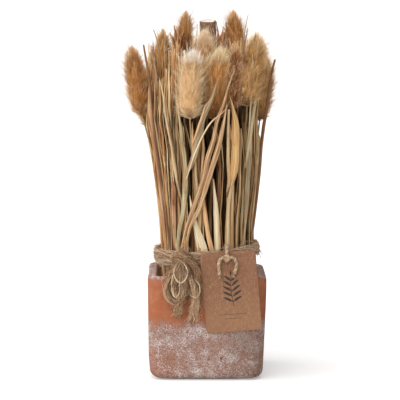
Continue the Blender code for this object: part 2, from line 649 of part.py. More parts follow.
def string_route(x, front, hole_top, knot):
    """The string's closed way: from the knot over the tag and tie, behind it, back through the hole."""
    plane = tag_plane()
    tag_top = TAG_HOLE_HEIGHT + TAG_HOLE_BELOW_TOP * math.cos(TAG_SWING)
    over_tie, under_tie = TIE_TOP + 2.3 * STRING_RADIUS, TIE_BOTTOM - 1.4 * STRING_RADIUS
    behind = tag_direction() * (TIE_INNER_RADIUS + 1.1 * STRING_RADIUS)
    edge = behind * 1.05
    return [
        knot,
        (x, front - 0.0001, tag_top - 0.0016),
        (x, front - 0.0001, tag_top + 0.0006),
        (x, plane - 0.0002, tag_top + 0.0022),
        (x, plane + 0.0032, over_tie + 0.0008),
        (edge.x, edge.y, over_tie + 0.0003),
        (behind.x, behind.y, TIE_TOP - 0.0012),
        (behind.x, behind.y, (TIE_TOP + TIE_BOTTOM) / 2),
        (behind.x, behind.y, TIE_BOTTOM + 0.0012),
        (edge.x, edge.y, under_tie - 0.0002),
        (x, plane + 0.0050, under_tie + 0.0020),
        (x, plane + 0.0018, hole_top - 0.0022),
        (x, plane, hole_top - 0.0002),
        knot,
    ]


def make_string():
    """The tag's string: round the tie, over the tag's top edge, through its hole, and knotted in front."""
    x = TAG_HOLE_X
    front = tag_plane() - TAG_THICKNESS / 2 - TOUCHING_GAP - STRING_RADIUS
    hole_top = TAG_HOLE_HEIGHT + TAG_HOLE_RADIUS - TOUCHING_GAP - STRING_RADIUS
    knot = Vector((x, front - STRING_KNOT_RADIUS + STRING_RADIUS, TAG_HOLE_HEIGHT + STRING_KNOT_ABOVE_HOLE))
    route = string_route(x, front, hole_top, knot)
    loop = tube("tag_string", route, (STRING_RADIUS,), STRING_SIDES, STRING_STEPS)
    parts = []
    for end in STRING_ENDS:
        points = [(x + side, front - ahead, TAG_HOLE_HEIGHT + up) for side, ahead, up in end]
        parts.append(tube("string_end", (knot, *points), (STRING_RADIUS,), STRING_SIDES, 6))
    bm = bmesh.new()
    bmesh.ops.create_icosphere(bm, subdivisions=1, radius=STRING_KNOT_RADIUS)
    bmesh.ops.translate(bm, vec=knot, verts=bm.verts)
    apply_boolean(loop, "UNION", [*parts, new_object("string_knot", bm)])
    finish(loop, "tag_string", knot)


def path_to(base, tip):
    """Knots of (height, x, y) for a stem from the floor, through the tie, to a head's base and tip."""
    width, leaning = sheaf_sides(base[2])
    share = np.array(((base[0] - leaning) / width, base[1] / sheaf_radius(base[2])))
    reach = np.linalg.norm(share)
    gripped = share * min(1.0, GRIPPED_SHARE / reach)
    halfway = (share + gripped) / 2 * min(1.0, MOST_SHARE / reach)
    knots = [(h, *in_sheaf(gripped, h)) for h in (STEM_FOOT, STRAIGHT_BELOW, TIE_HEIGHT)]
    middle = (TIE_HEIGHT + base[2]) / 2
    knots.append((middle, *in_sheaf(halfway, middle)))
    return [*knots, (base[2], *base[:2]), (tip[2], *tip[:2])]


def head_profile(share):
    """The radius over the awns part of the way up a head, as a share of the most: full low, pointed."""
    return math.sin(math.pi * (0.14 + 0.86 * share)) ** 0.45


def make_head(standing, name, look, tip, base, radius, points, rings, core, rise):
    """A head of soft awns on its stem: rings whose every other point is pulled out and up as an awn."""
    knots = path_to(base, tip)
    length = tip[2] - base[2]
    neck = base[2] - 2 * HEAD_NECK
    strand = round_strand(knots, HEAD_STEM_RADIUS, STEM_FOOT, base[2] - HEAD_NECK)
    swelling = [(STEM_FOOT, HEAD_STEM_RADIUS), (neck, HEAD_STEM_RADIUS), (base[2], radius), (tip[2], radius)]
    standing.add(round_strand(knots, swelling, STEM_FOOT, tip[2], (neck, base[2])), name)
    bm = bmesh.new()
    foot = points // 2
    made = []
    for height, centre, _, half in zip(*strand):
        angles = [math.tau * i / foot for i in range(foot)]
        made.append([bm.verts.new((centre[0] + half * math.cos(a), centre[1] + half * math.sin(a), height))
                     for a in angles])
    for low, high in zip(made, made[1:]):
        skin(bm, low, high)
    bm.faces.new(reversed(made[0]))
    rise = min(rise, 0.8 * length / rings)
    head = []
    for ring in range(rings):
        share = (ring + 0.3) / rings
        height = base[2] + share * length * HEAD_FILLED
        centre = smooth_through(knots, np.array([height, height + rise]))
        over = radius * head_profile(share)
        row = []
        for i in range(points):
            awn = i % 2 == ring % 2
            x, y = centre[1 if awn else 0]
            out = over if awn else over * core
            angle = math.tau * i / points
            row.append(bm.verts.new((x + out * math.cos(angle), y + out * math.sin(angle),
                                     height + (rise if awn else 0.0))))
        head.append(row)
    last, first = made[-1], head[0]
    for i in range(foot):
        a, b, c = first[2 * i], first[2 * i + 1], first[(2 * i + 2) % points]
        after = last[(i + 1) % foot]
        for corners in ((last[i], b, a), (last[i], after, b), (after, c, b)):
            bm.faces.new(corners)
    for low, high in zip(head, head[1:]):
        skin(bm, low, high)
    peak = bm.verts.new(tip)
    for i in range(points):
        bm.faces.new((head[-1][i], head[-1][(i + 1) % points], peak))
    place = (*knots[0][1:], STEM_FOOT)
    finish(new_object(name, bm), look, place)


def make_stalk(standing):
    """The thick cut stalk, its pith a little sunk at the top."""
    x, y = STALK_PLACE
    knots = [(STEM_FOOT, x, y - STALK_LEAN), (CULM_STRAIGHT_TO, x, y - STALK_LEAN / 3), (STALK_TOP, x, y)]
    girth = [(STEM_FOOT, STALK_RADIUS * 0.93), (STALK_TOP, STALK_RADIUS)]
    strand = round_strand(knots, girth, STEM_FOOT, STALK_TOP)
    standing.add(strand, "cut_stalk")
    stalk = stem("cut_stalk", strand, sides=STALK_SIDES)
    bm = bmesh.new()
    bm.from_mesh(stalk.data)
    top = max(bm.faces, key=lambda face: face.calc_center_median().z)
    bmesh.ops.inset_region(bm, faces=[top], thickness=STALK_RIND)
    bmesh.ops.translate(bm, vec=(0.0, 0.0, -STALK_PITH_DEPTH), verts=top.verts)
    bm.to_mesh(stalk.data)
    bm.free()
    finish(stalk, "cut_stalk", (*STALK_PLACE, STEM_FOOT))


def on_front(x, height, lift):
    """The y of a point on the sheaf's front surface, this far outside it."""
    width, middle = sheaf_sides(height)
    share = min(abs(x - middle) / (width + lift), OUTERMOST_FRONT_SHARE)
    return -(float(sheaf_radius(height)) + lift) * math.sqrt(1.0 - share ** 2)


def front_knots(rows, lift, round_section=False):
    """Knots of (height, x, y, half width, direction of the width) for a piece laid on the sheaf's front."""
    knots = []
    for x, height, width in rows:
        share = min(max((height - LIFT_STARTS) / (LIFT_ENDS - LIFT_STARTS), 0.0), 1.0)
        out = LIFT_AT_TIE + (lift - LIFT_AT_TIE) * share - (width / 2 if round_section else 0.0)
        y = on_front(x, height, out)
        knots.append((height, x, y, width / 2, math.atan2(x, -y)))
    return knots


def below_tie(knot):
    """Knots that take a front piece from the floor up to its first knot, at the tie."""
    height, x, y, half, turn = knot
    below = []
    for low in (STEM_FOOT, STRAIGHT_BELOW):
        share = IN_POT_SHARE * float(sheaf_radius(low) / sheaf_radius(height))
        below.append((low, x * share, y * share, min(half, IN_POT_HALF_WIDTH), turn))
    return below


def make_front_piece(standing, name):
    """A leaf or stalk that shows singly, with any side leaf that grows out of it."""
    form, look, lift, rows = FRONT_PIECES[name]
    knots = front_knots(rows, lift, form == "stalk")
    knots = [*below_tie(knots[0]), *knots]
    low, high = knots[0][0], knots[-1][0]
    own_heights = [row[1] for row in rows]
    if form == "stalk":
        strand = round_strand([knot[:3] for knot in knots], [knot[0:4:3] for knot in knots], low, high,
                              own_heights)
        obj = stem(name, strand, FRONT_STALK_SIDES)
    else:
        strand = flat_strand(knots, low, high, own_heights)
        obj = blade(name, strand)
    standing.add(strand, name)
    if name in SIDE_LEAVES:
        further, rows = SIDE_LEAVES[name]
        side = front_knots(rows, lift + further)
        root = rows[0][1]
        side[0] = (root, *smooth_through(knots, np.array([root]))[0][:2], *side[0][3:])
        strand = flat_strand(side, root, rows[-1][1], [row[1] for row in rows])
        standing.add(strand, name)
        apply_boolean(obj, "UNION", [blade("side_leaf", strand)])
    finish(obj, look, (*knots[0][1:3], STEM_FOOT))


def make_husk_spray(standing, name, share, top, draw):
    """A thin stem with brown papery husks standing out of its upper end."""
    knots = [(h, *in_sheaf(share, h)) for h in (STEM_FOOT, TIE_HEIGHT, 0.190, top)]
    zone = top - HUSK_ZONE
    strand = round_strand(knots, CULM_RADIUS, STEM_FOOT, top, (zone,))
    below = zone - HEAD_NECK
    wide = [(STEM_FOOT, CULM_RADIUS), (below, CULM_RADIUS), (zone, HUSK_ROOM), (top, HUSK_ROOM)]
    standing.add(round_strand(knots, wide, STEM_FOOT, top, (below, zone)), name)
    husks = []
    for i in range(HUSKS_EACH):
        low = zone + (HUSK_ZONE - HUSK_LENGTH) * i / (HUSKS_EACH - 1)
        high = low + HUSK_LENGTH * draw.uniform(0.85, 1.0)
        turn = HUSK_TURN * i + draw.uniform(-0.3, 0.3)
        out = HUSK_SPREAD * np.array([math.cos(turn), math.sin(turn)])
        foot, head = smooth_through(knots, np.array([low, high]))
        across = turn + math.pi / 2
        middle = (low + high) / 2
        rows = [
            (low, *foot, 0.6 * HUSK_HALF_WIDTH, across),
            (middle, *((foot + head) / 2 + 0.75 * out), HUSK_HALF_WIDTH, across),
            (high, *(head + 0.85 * out), 0.3 * HUSK_HALF_WIDTH, across),
        ]
        husks.append(blade("husk", flat_strand(rows, low, high, (middle,))))
    obj = stem(name, strand)
    apply_boolean(obj, "UNION", husks)
    finish(obj, "husk_spray", (*knots[0][1:], STEM_FOOT))


def leaf_of(draw, start, root_height, share):
    """One leaf of a leafy stem: from its root on the culm, out to its own place, and up to its tip."""
    reach = np.linalg.norm(share)
    outward = math.atan2(share[1], share[0])
    drift = outward + draw.uniform(-LEAF_DRIFT, LEAF_DRIFT)
    far = np.array([math.cos(drift), math.sin(drift)]) * min(reach * 1.04, MOST_SHARE)
    top = draw.uniform(LEAF_LOWEST_TOP, LEAF_HIGHEST_TOP - LEAF_TOP_DROP * reach)
    middle = (TIE_HEIGHT + top) / 2
    sway = draw.uniform(-LEAF_SWAY, LEAF_SWAY)
    between = (share + far) / 2 + sway * np.array([-math.sin(outward), math.cos(outward)])
    half = draw.uniform(*LEAF_HALF_WIDTHS)
    across = outward + math.pi / 2 + draw.uniform(-LEAF_TURN, LEAF_TURN)
    twist = draw.uniform(-LEAF_TWIST, LEAF_TWIST)
    knots = [
        (root_height, *start, LEAF_HALF_WIDTH_AT_ROOT, across),
        (TIE_BOTTOM, *in_sheaf(share, TIE_BOTTOM), 0.8 * half, across),
        (TIE_TOP, *in_sheaf(share, TIE_TOP), 0.9 * half, across),
        (middle, *in_sheaf(between, middle), half, across + twist / 2),
        (top, *in_sheaf(far, top), 0.35 * half, across + twist),
    ]
    return flat_strand(knots, root_height, top)


def grow_culm(standing, name, place, spread, draw):
    """Knots and strand of a culm near a place, kept clear of all that stands in the pot already."""
    for _ in range(LEAF_TRIES):
        share = place + np.array([draw.uniform(-spread, spread), draw.uniform(-spread, spread)])
        share *= min(1.0, GRIPPED_SHARE / np.linalg.norm(share))
        top = draw.uniform(*CULM_TOPS)
        lean = share * draw.uniform(0.98, 1.03)
        knots = [(h, *in_sheaf(share, h)) for h in (STEM_FOOT, TIE_HEIGHT, CULM_STRAIGHT_TO)]
        knots.append((top, *in_sheaf(lean, top)))
        culm = round_strand(knots, CULM_RADIUS, STEM_FOOT, top)
        if standing.fits(culm, name):
            return share, knots, culm
    return None


def grow_leaves(standing, name, share, knots, draw):
    """The leaves of one culm, each clear of the rest."""
    leaves = []
    for _ in range(LEAF_TRIES):
        root = LOWEST_LEAF_ROOT + LEAF_ROOT_STEP * (len(leaves) + draw.uniform(-0.3, 0.3))
        start = smooth_through(knots, np.array([root]))[0]
        turn = draw.uniform(0.0, math.tau)
        away = share + LEAF_REACH * math.sqrt(draw.random()) * np.array([math.cos(turn), math.sin(turn)])
        away *= min(1.0, MOST_SHARE / np.linalg.norm(away))
        leaf = leaf_of(draw, start, root, away)
        if standing.fits(leaf, name, LEAVES_PART_ABOVE):
            standing.add(leaf, name)
            leaves.append(leaf)
        if len(leaves) == LEAVES_EACH:
            break
    return leaves


def make_leafy_stem(standing, name, look, place, draw):
    """A culm with long leaves, placed where at least a few leaves find room."""
    for spread in PLACE_SPREADS:
        grown = grow_culm(standing, name, place, spread, draw)
        if not grown:
            continue
        share, knots, culm = grown
        standing.add(culm, name)
        leaves = grow_leaves(standing, name, share, knots, draw)
        if len(leaves) >= FEWEST_LEAVES:
            break
        standing.drop(name)
    else:
        return False
    obj = stem(name, culm, turn=draw.uniform(0.0, 1.0))
    apply_boolean(obj, "UNION", [blade("leaf", leaf) for leaf in leaves])
    finish(obj, look, (*knots[0][1:], STEM_FOOT))
    return True


def make_sheaf():
    """All that stands in the pot, the placed pieces first and the leafy stems among them."""
    draw = random.Random(SEED)
    standing = Standing()
    make_stalk(standing)
    for i, (tip, base, radius) in enumerate(HARE_TAILS, 1):
        look = "pale_hare_tail" if i in (4, 5, 6) else "hare_tail"
        make_head(standing, f"hare_tail_{i:02d}", look, tip, base, radius, HARE_TAIL_POINTS,
                  HARE_TAIL_RINGS, HARE_TAIL_CORE, HARE_TAIL_AWN_RISE)
    for i, (tip, base, radius) in enumerate(SEED_PLUMES, 1):
        make_head(standing, f"seed_plume_{i}", "seed_plume", tip, base, radius, PLUME_POINTS,
                  PLUME_RINGS, PLUME_CORE, PLUME_BRISTLE_RISE)
    for name in FRONT_PIECES:
        make_front_piece(standing, name)
    for i, (share, top) in enumerate(HUSK_SPRAYS, 1):
        make_husk_spray(standing, f"husk_spray_{i}", share, top, draw)
    golden_angle = math.pi * (3 - math.sqrt(5))
    made = 0
    for i in range(PLACES_TRIED):
        reach = OUTERMOST_PLACE * (1 - i / PLACES_TRIED) ** 0.4
        place = reach * np.array([math.cos(golden_angle * i), math.sin(golden_angle * i)])
        name, look = f"leafy_stem_{made + 1:02d}", LEAFY_STEM_LOOKS[made % len(LEAFY_STEM_LOOKS)]
        made += make_leafy_stem(standing, name, look, place, draw)
        if made == LEAFY_STEMS:
            break


def clear_scene():
    """Removes what the start-up scene holds."""
    for obj in list(bpy.data.objects):
        bpy.data.objects.remove(obj)


clear_scene()
bpy.context.scene.collection.objects.link(bpy.data.objects.new(ARRANGEMENT, None))
make_pot()
make_tie()
make_tag()
make_string()
make_sheaf()
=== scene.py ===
"""Dried grasses and hare's-tail heads, tied with jute, in a square terracotta pot. Metres, +Z up."""

import math

import bmesh
import bpy
import numpy as np
from mathutils import Matrix, Vector, noise


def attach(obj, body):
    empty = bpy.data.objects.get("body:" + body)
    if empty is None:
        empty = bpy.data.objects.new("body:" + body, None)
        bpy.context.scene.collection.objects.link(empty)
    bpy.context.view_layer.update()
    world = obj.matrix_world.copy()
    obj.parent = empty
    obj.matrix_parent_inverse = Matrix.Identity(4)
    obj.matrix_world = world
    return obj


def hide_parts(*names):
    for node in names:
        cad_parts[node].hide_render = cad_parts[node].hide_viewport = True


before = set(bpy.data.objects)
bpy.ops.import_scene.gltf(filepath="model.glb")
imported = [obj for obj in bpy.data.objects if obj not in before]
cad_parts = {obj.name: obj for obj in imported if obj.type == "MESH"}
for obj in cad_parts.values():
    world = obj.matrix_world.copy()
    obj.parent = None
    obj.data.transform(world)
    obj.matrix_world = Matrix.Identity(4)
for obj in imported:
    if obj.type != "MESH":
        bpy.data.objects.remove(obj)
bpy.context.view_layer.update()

# The studio: a white sweep lit by the whole white room and by one large soft lamp, high at the left
# and in front. The camera looks a little down, with a long lens, as a shop photograph does.
VIEW_CENTRE = Vector((-0.0057, 0.0, 0.1427))
VIEW_DISTANCE = 1.5
VIEW_DOWN = math.radians(5.5)
FRAME_WIDTH = 0.332
SENSOR = 36.0
CLEAR_SIGHT = 500.0
LAMP_STRENGTH = 2.95
LAMP_SPREAD = math.radians(95.0)
LAMP_FROM = Vector((-0.80, -0.74, 1.30))
ROOM_LIGHT = 0.50
ROOM_SEEN = 1.1
FLOOR_HALF = 80.0
FLOOR_GLOW = 0.29


def placed(name, data):
    """A new object in the scene, at the origin."""
    made = bpy.data.objects.new(name, data)
    bpy.context.scene.collection.objects.link(made)
    return made


camera = placed("camera", bpy.data.cameras.new("camera"))
camera.data.sensor_width = SENSOR
camera.data.lens = SENSOR * VIEW_DISTANCE / FRAME_WIDTH
camera.data.clip_end = CLEAR_SIGHT
camera.location = VIEW_CENTRE + VIEW_DISTANCE * Vector((0.0, -math.cos(VIEW_DOWN), math.sin(VIEW_DOWN)))
camera.rotation_euler = (math.radians(90.0) - VIEW_DOWN, 0.0, 0.0)
bpy.context.scene.camera = camera
bpy.context.scene.view_settings.view_transform = "Standard"

lamp = placed("lamp", bpy.data.lights.new("lamp", "SUN"))
lamp.data.energy = LAMP_STRENGTH
lamp.data.angle = LAMP_SPREAD
lamp.rotation_euler = LAMP_FROM.to_track_quat("Z", "Y").to_euler()


def node(tree, kind, settings=None, **inputs):
    """Adds a node with its settings. An input takes a value, or is linked from another node's socket."""
    made = tree.nodes.new(kind)
    for key, value in (settings or {}).items():
        setattr(made, key, value)
    for key, value in inputs.items():
        fill(made.inputs[key.replace("_", " ")], value)
    return made


def fill(socket, value):
    """Gives an input its value, or links it from another node's socket. A colour may come without alpha."""
    if isinstance(value, bpy.types.NodeSocket):
        socket.id_data.links.new(value, socket)
    elif socket.type == "RGBA":
        socket.default_value = (*value[:3], 1.0)
    else:
        socket.default_value = value


def maths(operation, first, second=0.0, clamp=False):
    """One sum on a node's value and another."""
    made = node(first.id_data, "ShaderNodeMath", {"operation": operation, "use_clamp": clamp})
    fill(made.inputs[0], first)
    fill(made.inputs[1], second)
    return made.outputs[0]


world = bpy.data.worlds.new("white_room")
world.use_nodes = True
tree = world.node_tree
tree.nodes.clear()
room = node(tree, "ShaderNodeBackground", Color=(1.0, 0.985, 0.965), Strength=ROOM_LIGHT)
seen = node(tree, "ShaderNodeBackground", Color=(1.0, 1.0, 1.0), Strength=ROOM_SEEN)
either = node(tree, "ShaderNodeMixShader", Fac=node(tree, "ShaderNodeLightPath").outputs["Is Camera Ray"])
fill(either.inputs[1], room.outputs[0])
fill(either.inputs[2], seen.outputs[0])
node(tree, "ShaderNodeOutputWorld", Surface=either.outputs[0])
bpy.context.scene.world = world


def material(name, roughness=0.85, **sockets):
    """A new material with its shader. What is the same all over the surface is set here."""
    made = bpy.data.materials.new(name)
    made.use_nodes = True
    tree = made.node_tree
    shader = tree.nodes["Principled BSDF"]
    for key, value in {"Roughness": roughness, **sockets}.items():
        fill(shader.inputs[key.replace("_", " ")], value)
    return made, tree, shader


def meshed(bm, name):
    """Ends a bmesh and gives its mesh."""
    mesh = bpy.data.meshes.new(name)
    bm.to_mesh(mesh)
    bm.free()
    return mesh


def piece(name, mesh, finish, slot, *replaced):
    """Puts a finished mesh in the scene, in its material, in the place of the nodes that it stands for."""
    obj = placed(name, mesh)
    mesh.materials.clear()
    mesh.materials.append(finish)
    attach(obj, "root")
    if replaced:
        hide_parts(*replaced)
    return obj


bm = bmesh.new()
bmesh.ops.create_grid(bm, x_segments=1, y_segments=1, size=FLOOR_HALF)
floor = placed("floor", meshed(bm, "floor"))
floor_paint, tree, shader = material("floor_paint", 0.9, Base_Color=(0.78, 0.78, 0.78),
                                     Emission_Color=(1.0, 1.0, 1.0))
in_view = node(tree, "ShaderNodeLightPath").outputs["Is Camera Ray"]
fill(shader.inputs["Emission Strength"], maths("MULTIPLY", in_view, FLOOR_GLOW))
floor.data.materials.append(floor_paint)


# The pot: thick terracotta cast in a square mould, soft at every corner and a little uneven. Its lower
# half and its rim are rubbed with a thin pinkish whitewash that has caught in the clay's grain.
POT_WIDTH = 0.0972
POT_HEIGHT = 0.0855
POT_WALL = 0.0080
POT_FLOOR = 0.0080
POT_CORNER = 0.0115
POT_FOOT_ROUND = 0.0066
POT_RIM_ROUND = 0.0028
POT_FOOT_WIDTH = POT_WIDTH - 0.0018
POT_GRAIN = 0.0013
POT_UNEVEN = 0.00045
HAIR = 0.0001


def rounded(bm, edges, size, segments):
    """Rounds edges of a solid."""
    bmesh.ops.bevel(bm, geom=edges, offset=size, segments=segments, profile=0.5, affect="EDGES", material=-1)


def upright(bm, least):
    """The edges that rise by more than this."""
    return [e for e in bm.edges if abs(e.verts[0].co.z - e.verts[1].co.z) > least]


def level_corners(bm, low, high):
    """The edges between two heights where a level face meets an upright one."""
    return [e for e in bm.edges if all(low < v.co.z < high for v in e.verts)
            and len({round(f.normal.z, 1) for f in e.link_faces}) > 1]


bm = bmesh.new()
bmesh.ops.create_cube(bm, size=1.0)
bmesh.ops.scale(bm, vec=(POT_WIDTH, POT_WIDTH, POT_HEIGHT), verts=bm.verts)
bmesh.ops.translate(bm, vec=(0.0, 0.0, POT_HEIGHT / 2), verts=bm.verts)
narrow = POT_FOOT_WIDTH / POT_WIDTH
bmesh.ops.scale(bm, vec=(narrow, narrow, 1.0), verts=[v for v in bm.verts if v.co.z < POT_FLOOR])
rounded(bm, upright(bm, POT_FLOOR), POT_CORNER, 7)
top = max(bm.faces, key=lambda face: face.calc_center_median().z)
bmesh.ops.inset_region(bm, faces=[top], thickness=POT_WALL, use_even_offset=True)
bmesh.ops.inset_region(bm, faces=[top], thickness=HAIR, depth=POT_FLOOR - POT_HEIGHT)
rounded(bm, level_corners(bm, POT_HEIGHT - HAIR, 1.0), POT_RIM_ROUND, 3)
rounded(bm, level_corners(bm, -1.0, HAIR), POT_FOOT_ROUND, 5)
bmesh.ops.recalc_face_normals(bm, faces=bm.faces)


def shaped(mesh, *modifiers):
    """The mesh with modifiers applied, each given as its kind and its settings."""
    obj = placed("being_shaped", mesh)
    for kind, settings in modifiers:
        modifier = obj.modifiers.new(kind, kind)
        for key, value in settings.items():
            setattr(modifier, key, value)
    graph = bpy.context.evaluated_depsgraph_get()
    made = bpy.data.meshes.new_from_object(obj.evaluated_get(graph))
    bpy.data.objects.remove(obj)
    return made


def swell(place):
    """A smooth random value from 0 to 1 over the clay."""
    return 0.5 + 0.5 * noise.noise(place)


pot_mesh = shaped(meshed(bm, "pot_shape"), ("REMESH", {"mode": "VOXEL", "voxel_size": POT_GRAIN}))
bm = bmesh.new()
bm.from_mesh(pot_mesh)
bm.normal_update()
for v in bm.verts:
    broad = swell(v.co * 34.0)
    fine = swell(v.co * 170.0 + Vector((3.0, 1.0, 7.0)))
    v.co -= v.normal * POT_UNEVEN * (0.72 * broad + 0.28 * fine)
    if v.co.z < 0.004:
        v.co.z += 0.0002 * swell(Vector((v.co.x, v.co.y, 0.0)) * 90.0)
bm.to_mesh(pot_mesh)
bm.free()
pot_mesh.shade_smooth()


def ramp(value, *stops):
    """A colour ramp through stops of (position, colour)."""
    made = node(value.id_data, "ShaderNodeValToRGB", Fac=value)
    elements = made.color_ramp.elements
    while len(elements) < len(stops):
        elements.new(0.5)
    for element, (position, colour) in zip(elements, stops):
        element.position = position
        element.color = (*colour, 1.0)
    return made.outputs["Color"]


def mix(factor, first, second, blend="MIX"):
    """The colour between two colours."""
    made = node(first.id_data, "ShaderNodeMix", {"data_type": "RGBA", "blend_type": blend})
    for index, value in ((0, factor), (6, first), (7, second)):
        fill(made.inputs[index], value)
    return made.outputs[2]


def tinted(colour, tint):
    """A colour made darker by another."""
    return mix(1.0, colour, tint, "MULTIPLY")


def times(first, second, clamp=False):
    """The product of a node's value and another."""
    return maths("MULTIPLY", first, second, clamp)


def fade(value, low, high):
    """How far a value has come from low to high, from 0 to 1, gently at both ends."""
    return node(value.id_data, "ShaderNodeMapRange", {"interpolation_type": "SMOOTHSTEP"}, Value=value,
                From_Min=low, From_Max=high).outputs["Result"]


def over(colour, paint, value, low, high, share):
    """A colour with a paint over it, as far as a value has come from low to high, up to a share."""
    return mix(times(fade(value, low, high), share), colour, paint)


def grain_of(place, scale, detail, roughness=0.5, distortion=0.0):
    """Noise with one size of grain. A scale of three numbers draws it out along the axes."""
    if isinstance(scale, tuple):
        stretched = node(place.id_data, "ShaderNodeVectorMath", {"operation": "MULTIPLY"})
        fill(stretched.inputs[0], place)
        fill(stretched.inputs[1], scale)
        place, scale = stretched.outputs[0], 1.0
    return node(place.id_data, "ShaderNodeTexNoise", Vector=place, Scale=scale, Detail=detail,
                Roughness=roughness, Distortion=distortion).outputs["Fac"]


def sum_of(first, second, share=1.0):
    """One value and a share of another, which is taken as it stands off its middle."""
    return maths("ADD", first, times(maths("SUBTRACT", second, 0.5), share))


def object_place(tree):
    """The place on the piece, and its three parts."""
    place = node(tree, "ShaderNodeTexCoord").outputs["Object"]
    return place, node(tree, "ShaderNodeSeparateXYZ", Vector=place).outputs


def dressed(shader, colour, height, strength, distance):
    """Gives a shader its colour, and raises the surface by a height, in light only."""
    made = node(shader.id_data, "ShaderNodeBump", Height=height, Strength=strength, Distance=distance)
    fill(shader.inputs["Base Color"], colour)
    fill(shader.inputs["Normal"], made.outputs["Normal"])


terracotta, tree, shader = material("whitewashed_terracotta", 0.94, Specular_IOR_Level=0.2)
place, (aside, deep, height) = object_place(tree)
broad = grain_of(place, 26.0, 3.0, 0.6)
patches = grain_of(place, 85.0, 4.0, 0.62, 0.4)
crumbs = grain_of(place, 420.0, 5.0, 0.72, 1.4)
speckle = grain_of(place, 1150.0, 4.0, 0.78, 0.6)
grain = grain_of(place, 2300.0, 3.0, 0.6)
clay = ramp(broad, (0.30, (0.350, 0.104, 0.041)), (0.55, (0.398, 0.129, 0.056)),
            (0.75, (0.440, 0.166, 0.083)))
clay = over(clay, (0.50, 0.23, 0.13), grain, 0.40, 0.72, 0.30)
clay = over(clay, (0.500, 0.245, 0.165), sum_of(patches, crumbs, 0.5), 0.38, 0.66, 0.30)
wash_line = sum_of(sum_of(height, broad, 0.034), patches, 0.016)
wash_line = maths("ADD", wash_line, times(aside, -0.045))
below_line = fade(wash_line, 0.0530, 0.0420)
on_rim = fade(sum_of(height, patches, 0.0034), 0.0818, 0.0838)
from_middle = maths("MAXIMUM", maths("ABSOLUTE", aside), maths("ABSOLUTE", deep))
inner_wall = times(fade(from_middle, 0.0452, 0.0436), fade(sum_of(height, patches, 0.012), 0.050, 0.068))
where = maths("MAXIMUM", maths("MAXIMUM", below_line, on_rim), inner_wall)
thinner = times(fade(aside, -0.012, -0.044), fade(sum_of(height, broad, 0.02), 0.036, 0.014))
density = sum_of(sum_of(sum_of(times(where, 0.56), patches, 0.42), crumbs, 1.9), speckle, 2.4)
density = maths("SUBTRACT", density, times(thinner, 0.26))
wash = times(where, fade(density, 0.40, 0.70))
chalk = ramp(sum_of(patches, speckle, 1.2), (0.28, (0.215, 0.160, 0.142)), (0.50, (0.375, 0.315, 0.290)),
             (0.72, (0.720, 0.675, 0.650)))
washed = mix(times(where, times(fade(patches, 0.16, 0.50), 0.60)), clay, (0.305, 0.180, 0.146))
washed = mix(times(wash, 0.84, clamp=True), washed, chalk)
# Painted light: the inner wall, which lies in shade, is lightened in its colour.
washed = mix(times(inner_wall, 0.45), washed, (0.800, 0.600, 0.500))
darker = times(fade(sum_of(crumbs, speckle, 0.9), 0.50, 0.34), 0.80)
washed = mix(times(darker, where), washed, (0.215, 0.105, 0.075))
# Painted shade: the colour darkens towards the pot's right side, away from the lamp.
washed = over(washed, tinted(washed, (0.62, 0.60, 0.58)), aside, 0.000, 0.042, 0.74)
smudge = times(fade(aside, 0.008, 0.022), fade(aside, 0.046, 0.034))
smudge = times(smudge, times(fade(height, 0.018, 0.026), fade(height, 0.044, 0.036)))
smudge = times(times(smudge, fade(patches, 0.42, 0.62)), 0.62)
washed = mix(smudge, washed, (0.200, 0.130, 0.095))
pits = node(tree, "ShaderNodeTexVoronoi", Vector=place, Scale=52.0, Randomness=1.0).outputs["Distance"]
dent = node(tree, "ShaderNodeVectorMath", {"operation": "DISTANCE"})
fill(dent.inputs[0], place)
fill(dent.inputs[1], (0.0117, -0.0476, 0.0183))
pit = maths("MAXIMUM", fade(pits, 0.055, 0.030), fade(dent.outputs["Value"], 0.0013, 0.0007))
# Painted shade: the pits and the one dent are darkened, for the shade that falls in them.
washed = mix(times(pit, 0.75), washed, (0.110, 0.045, 0.026))
# Painted shade: the colour darkens in the last two millimetres of the foot, where the pot meets the floor.
washed = over(washed, (0.16, 0.085, 0.060), height, 0.0020, 0.0004, 0.5)
relief = sum_of(sum_of(times(grain, 0.3), speckle, 0.8), crumbs, 0.5)
dressed(shader, washed, maths("SUBTRACT", relief, times(pit, 0.9)), 0.6, 0.0007)

# The mould was not true: the rim dips at the back right and leans out at the back left, the corners of
# the foot are raised, and the sides draw in below a height, more at the right.
RIM_FROM = 0.050
RIM_LOWER_BACK = 0.0014
RIM_LOWER_SIDE = 0.0006
RIM_OUT_LEFT = 0.0014
FOOT_RAISED = 0.0012
DRAWN_IN_RIGHT = (0.0024, 0.070)
DRAWN_IN_LEFT = (0.0015, 0.022)
for v in pot_mesh.vertices:
    across = v.co.x / (POT_WIDTH / 2)
    back = max(0.0, v.co.y / (POT_WIDTH / 2))
    rise = max(0.0, v.co.z - RIM_FROM) / (POT_HEIGHT - RIM_FROM)
    v.co.z -= rise * (RIM_LOWER_BACK * back * max(0.0, across) + RIM_LOWER_SIDE * (0.5 + 0.5 * across))
    v.co.z += FOOT_RAISED * max(0.0, 1.0 - v.co.z / 0.012) * max(0.0, abs(across) - 0.55) / 0.45
    drawn_in, up_to = DRAWN_IN_RIGHT if across > 0.0 else DRAWN_IN_LEFT
    bulge = 0.0 if across > 0.0 else rise * RIM_OUT_LEFT * back * across
    v.co.x += bulge - drawn_in * across * max(0.0, 1.0 - v.co.z / up_to) ** 1.3
piece("terracotta_pot", pot_mesh, terracotta, "terracotta", "pot")


# The leafy straws: long flat leaves and thin round stems of dried grass, cut to one length and stood
# on the pot's floor. The tie grips them and they spread above it. Each leaf has dried into a shallow
# fold and a slow wave.
TENTHS = 10000


def metres(table):
    """A table in metres, nested as it was. The tables of places are in tenths of a millimetre."""
    return tuple(metres(part) for part in table) if isinstance(table, tuple) else table / TENTHS


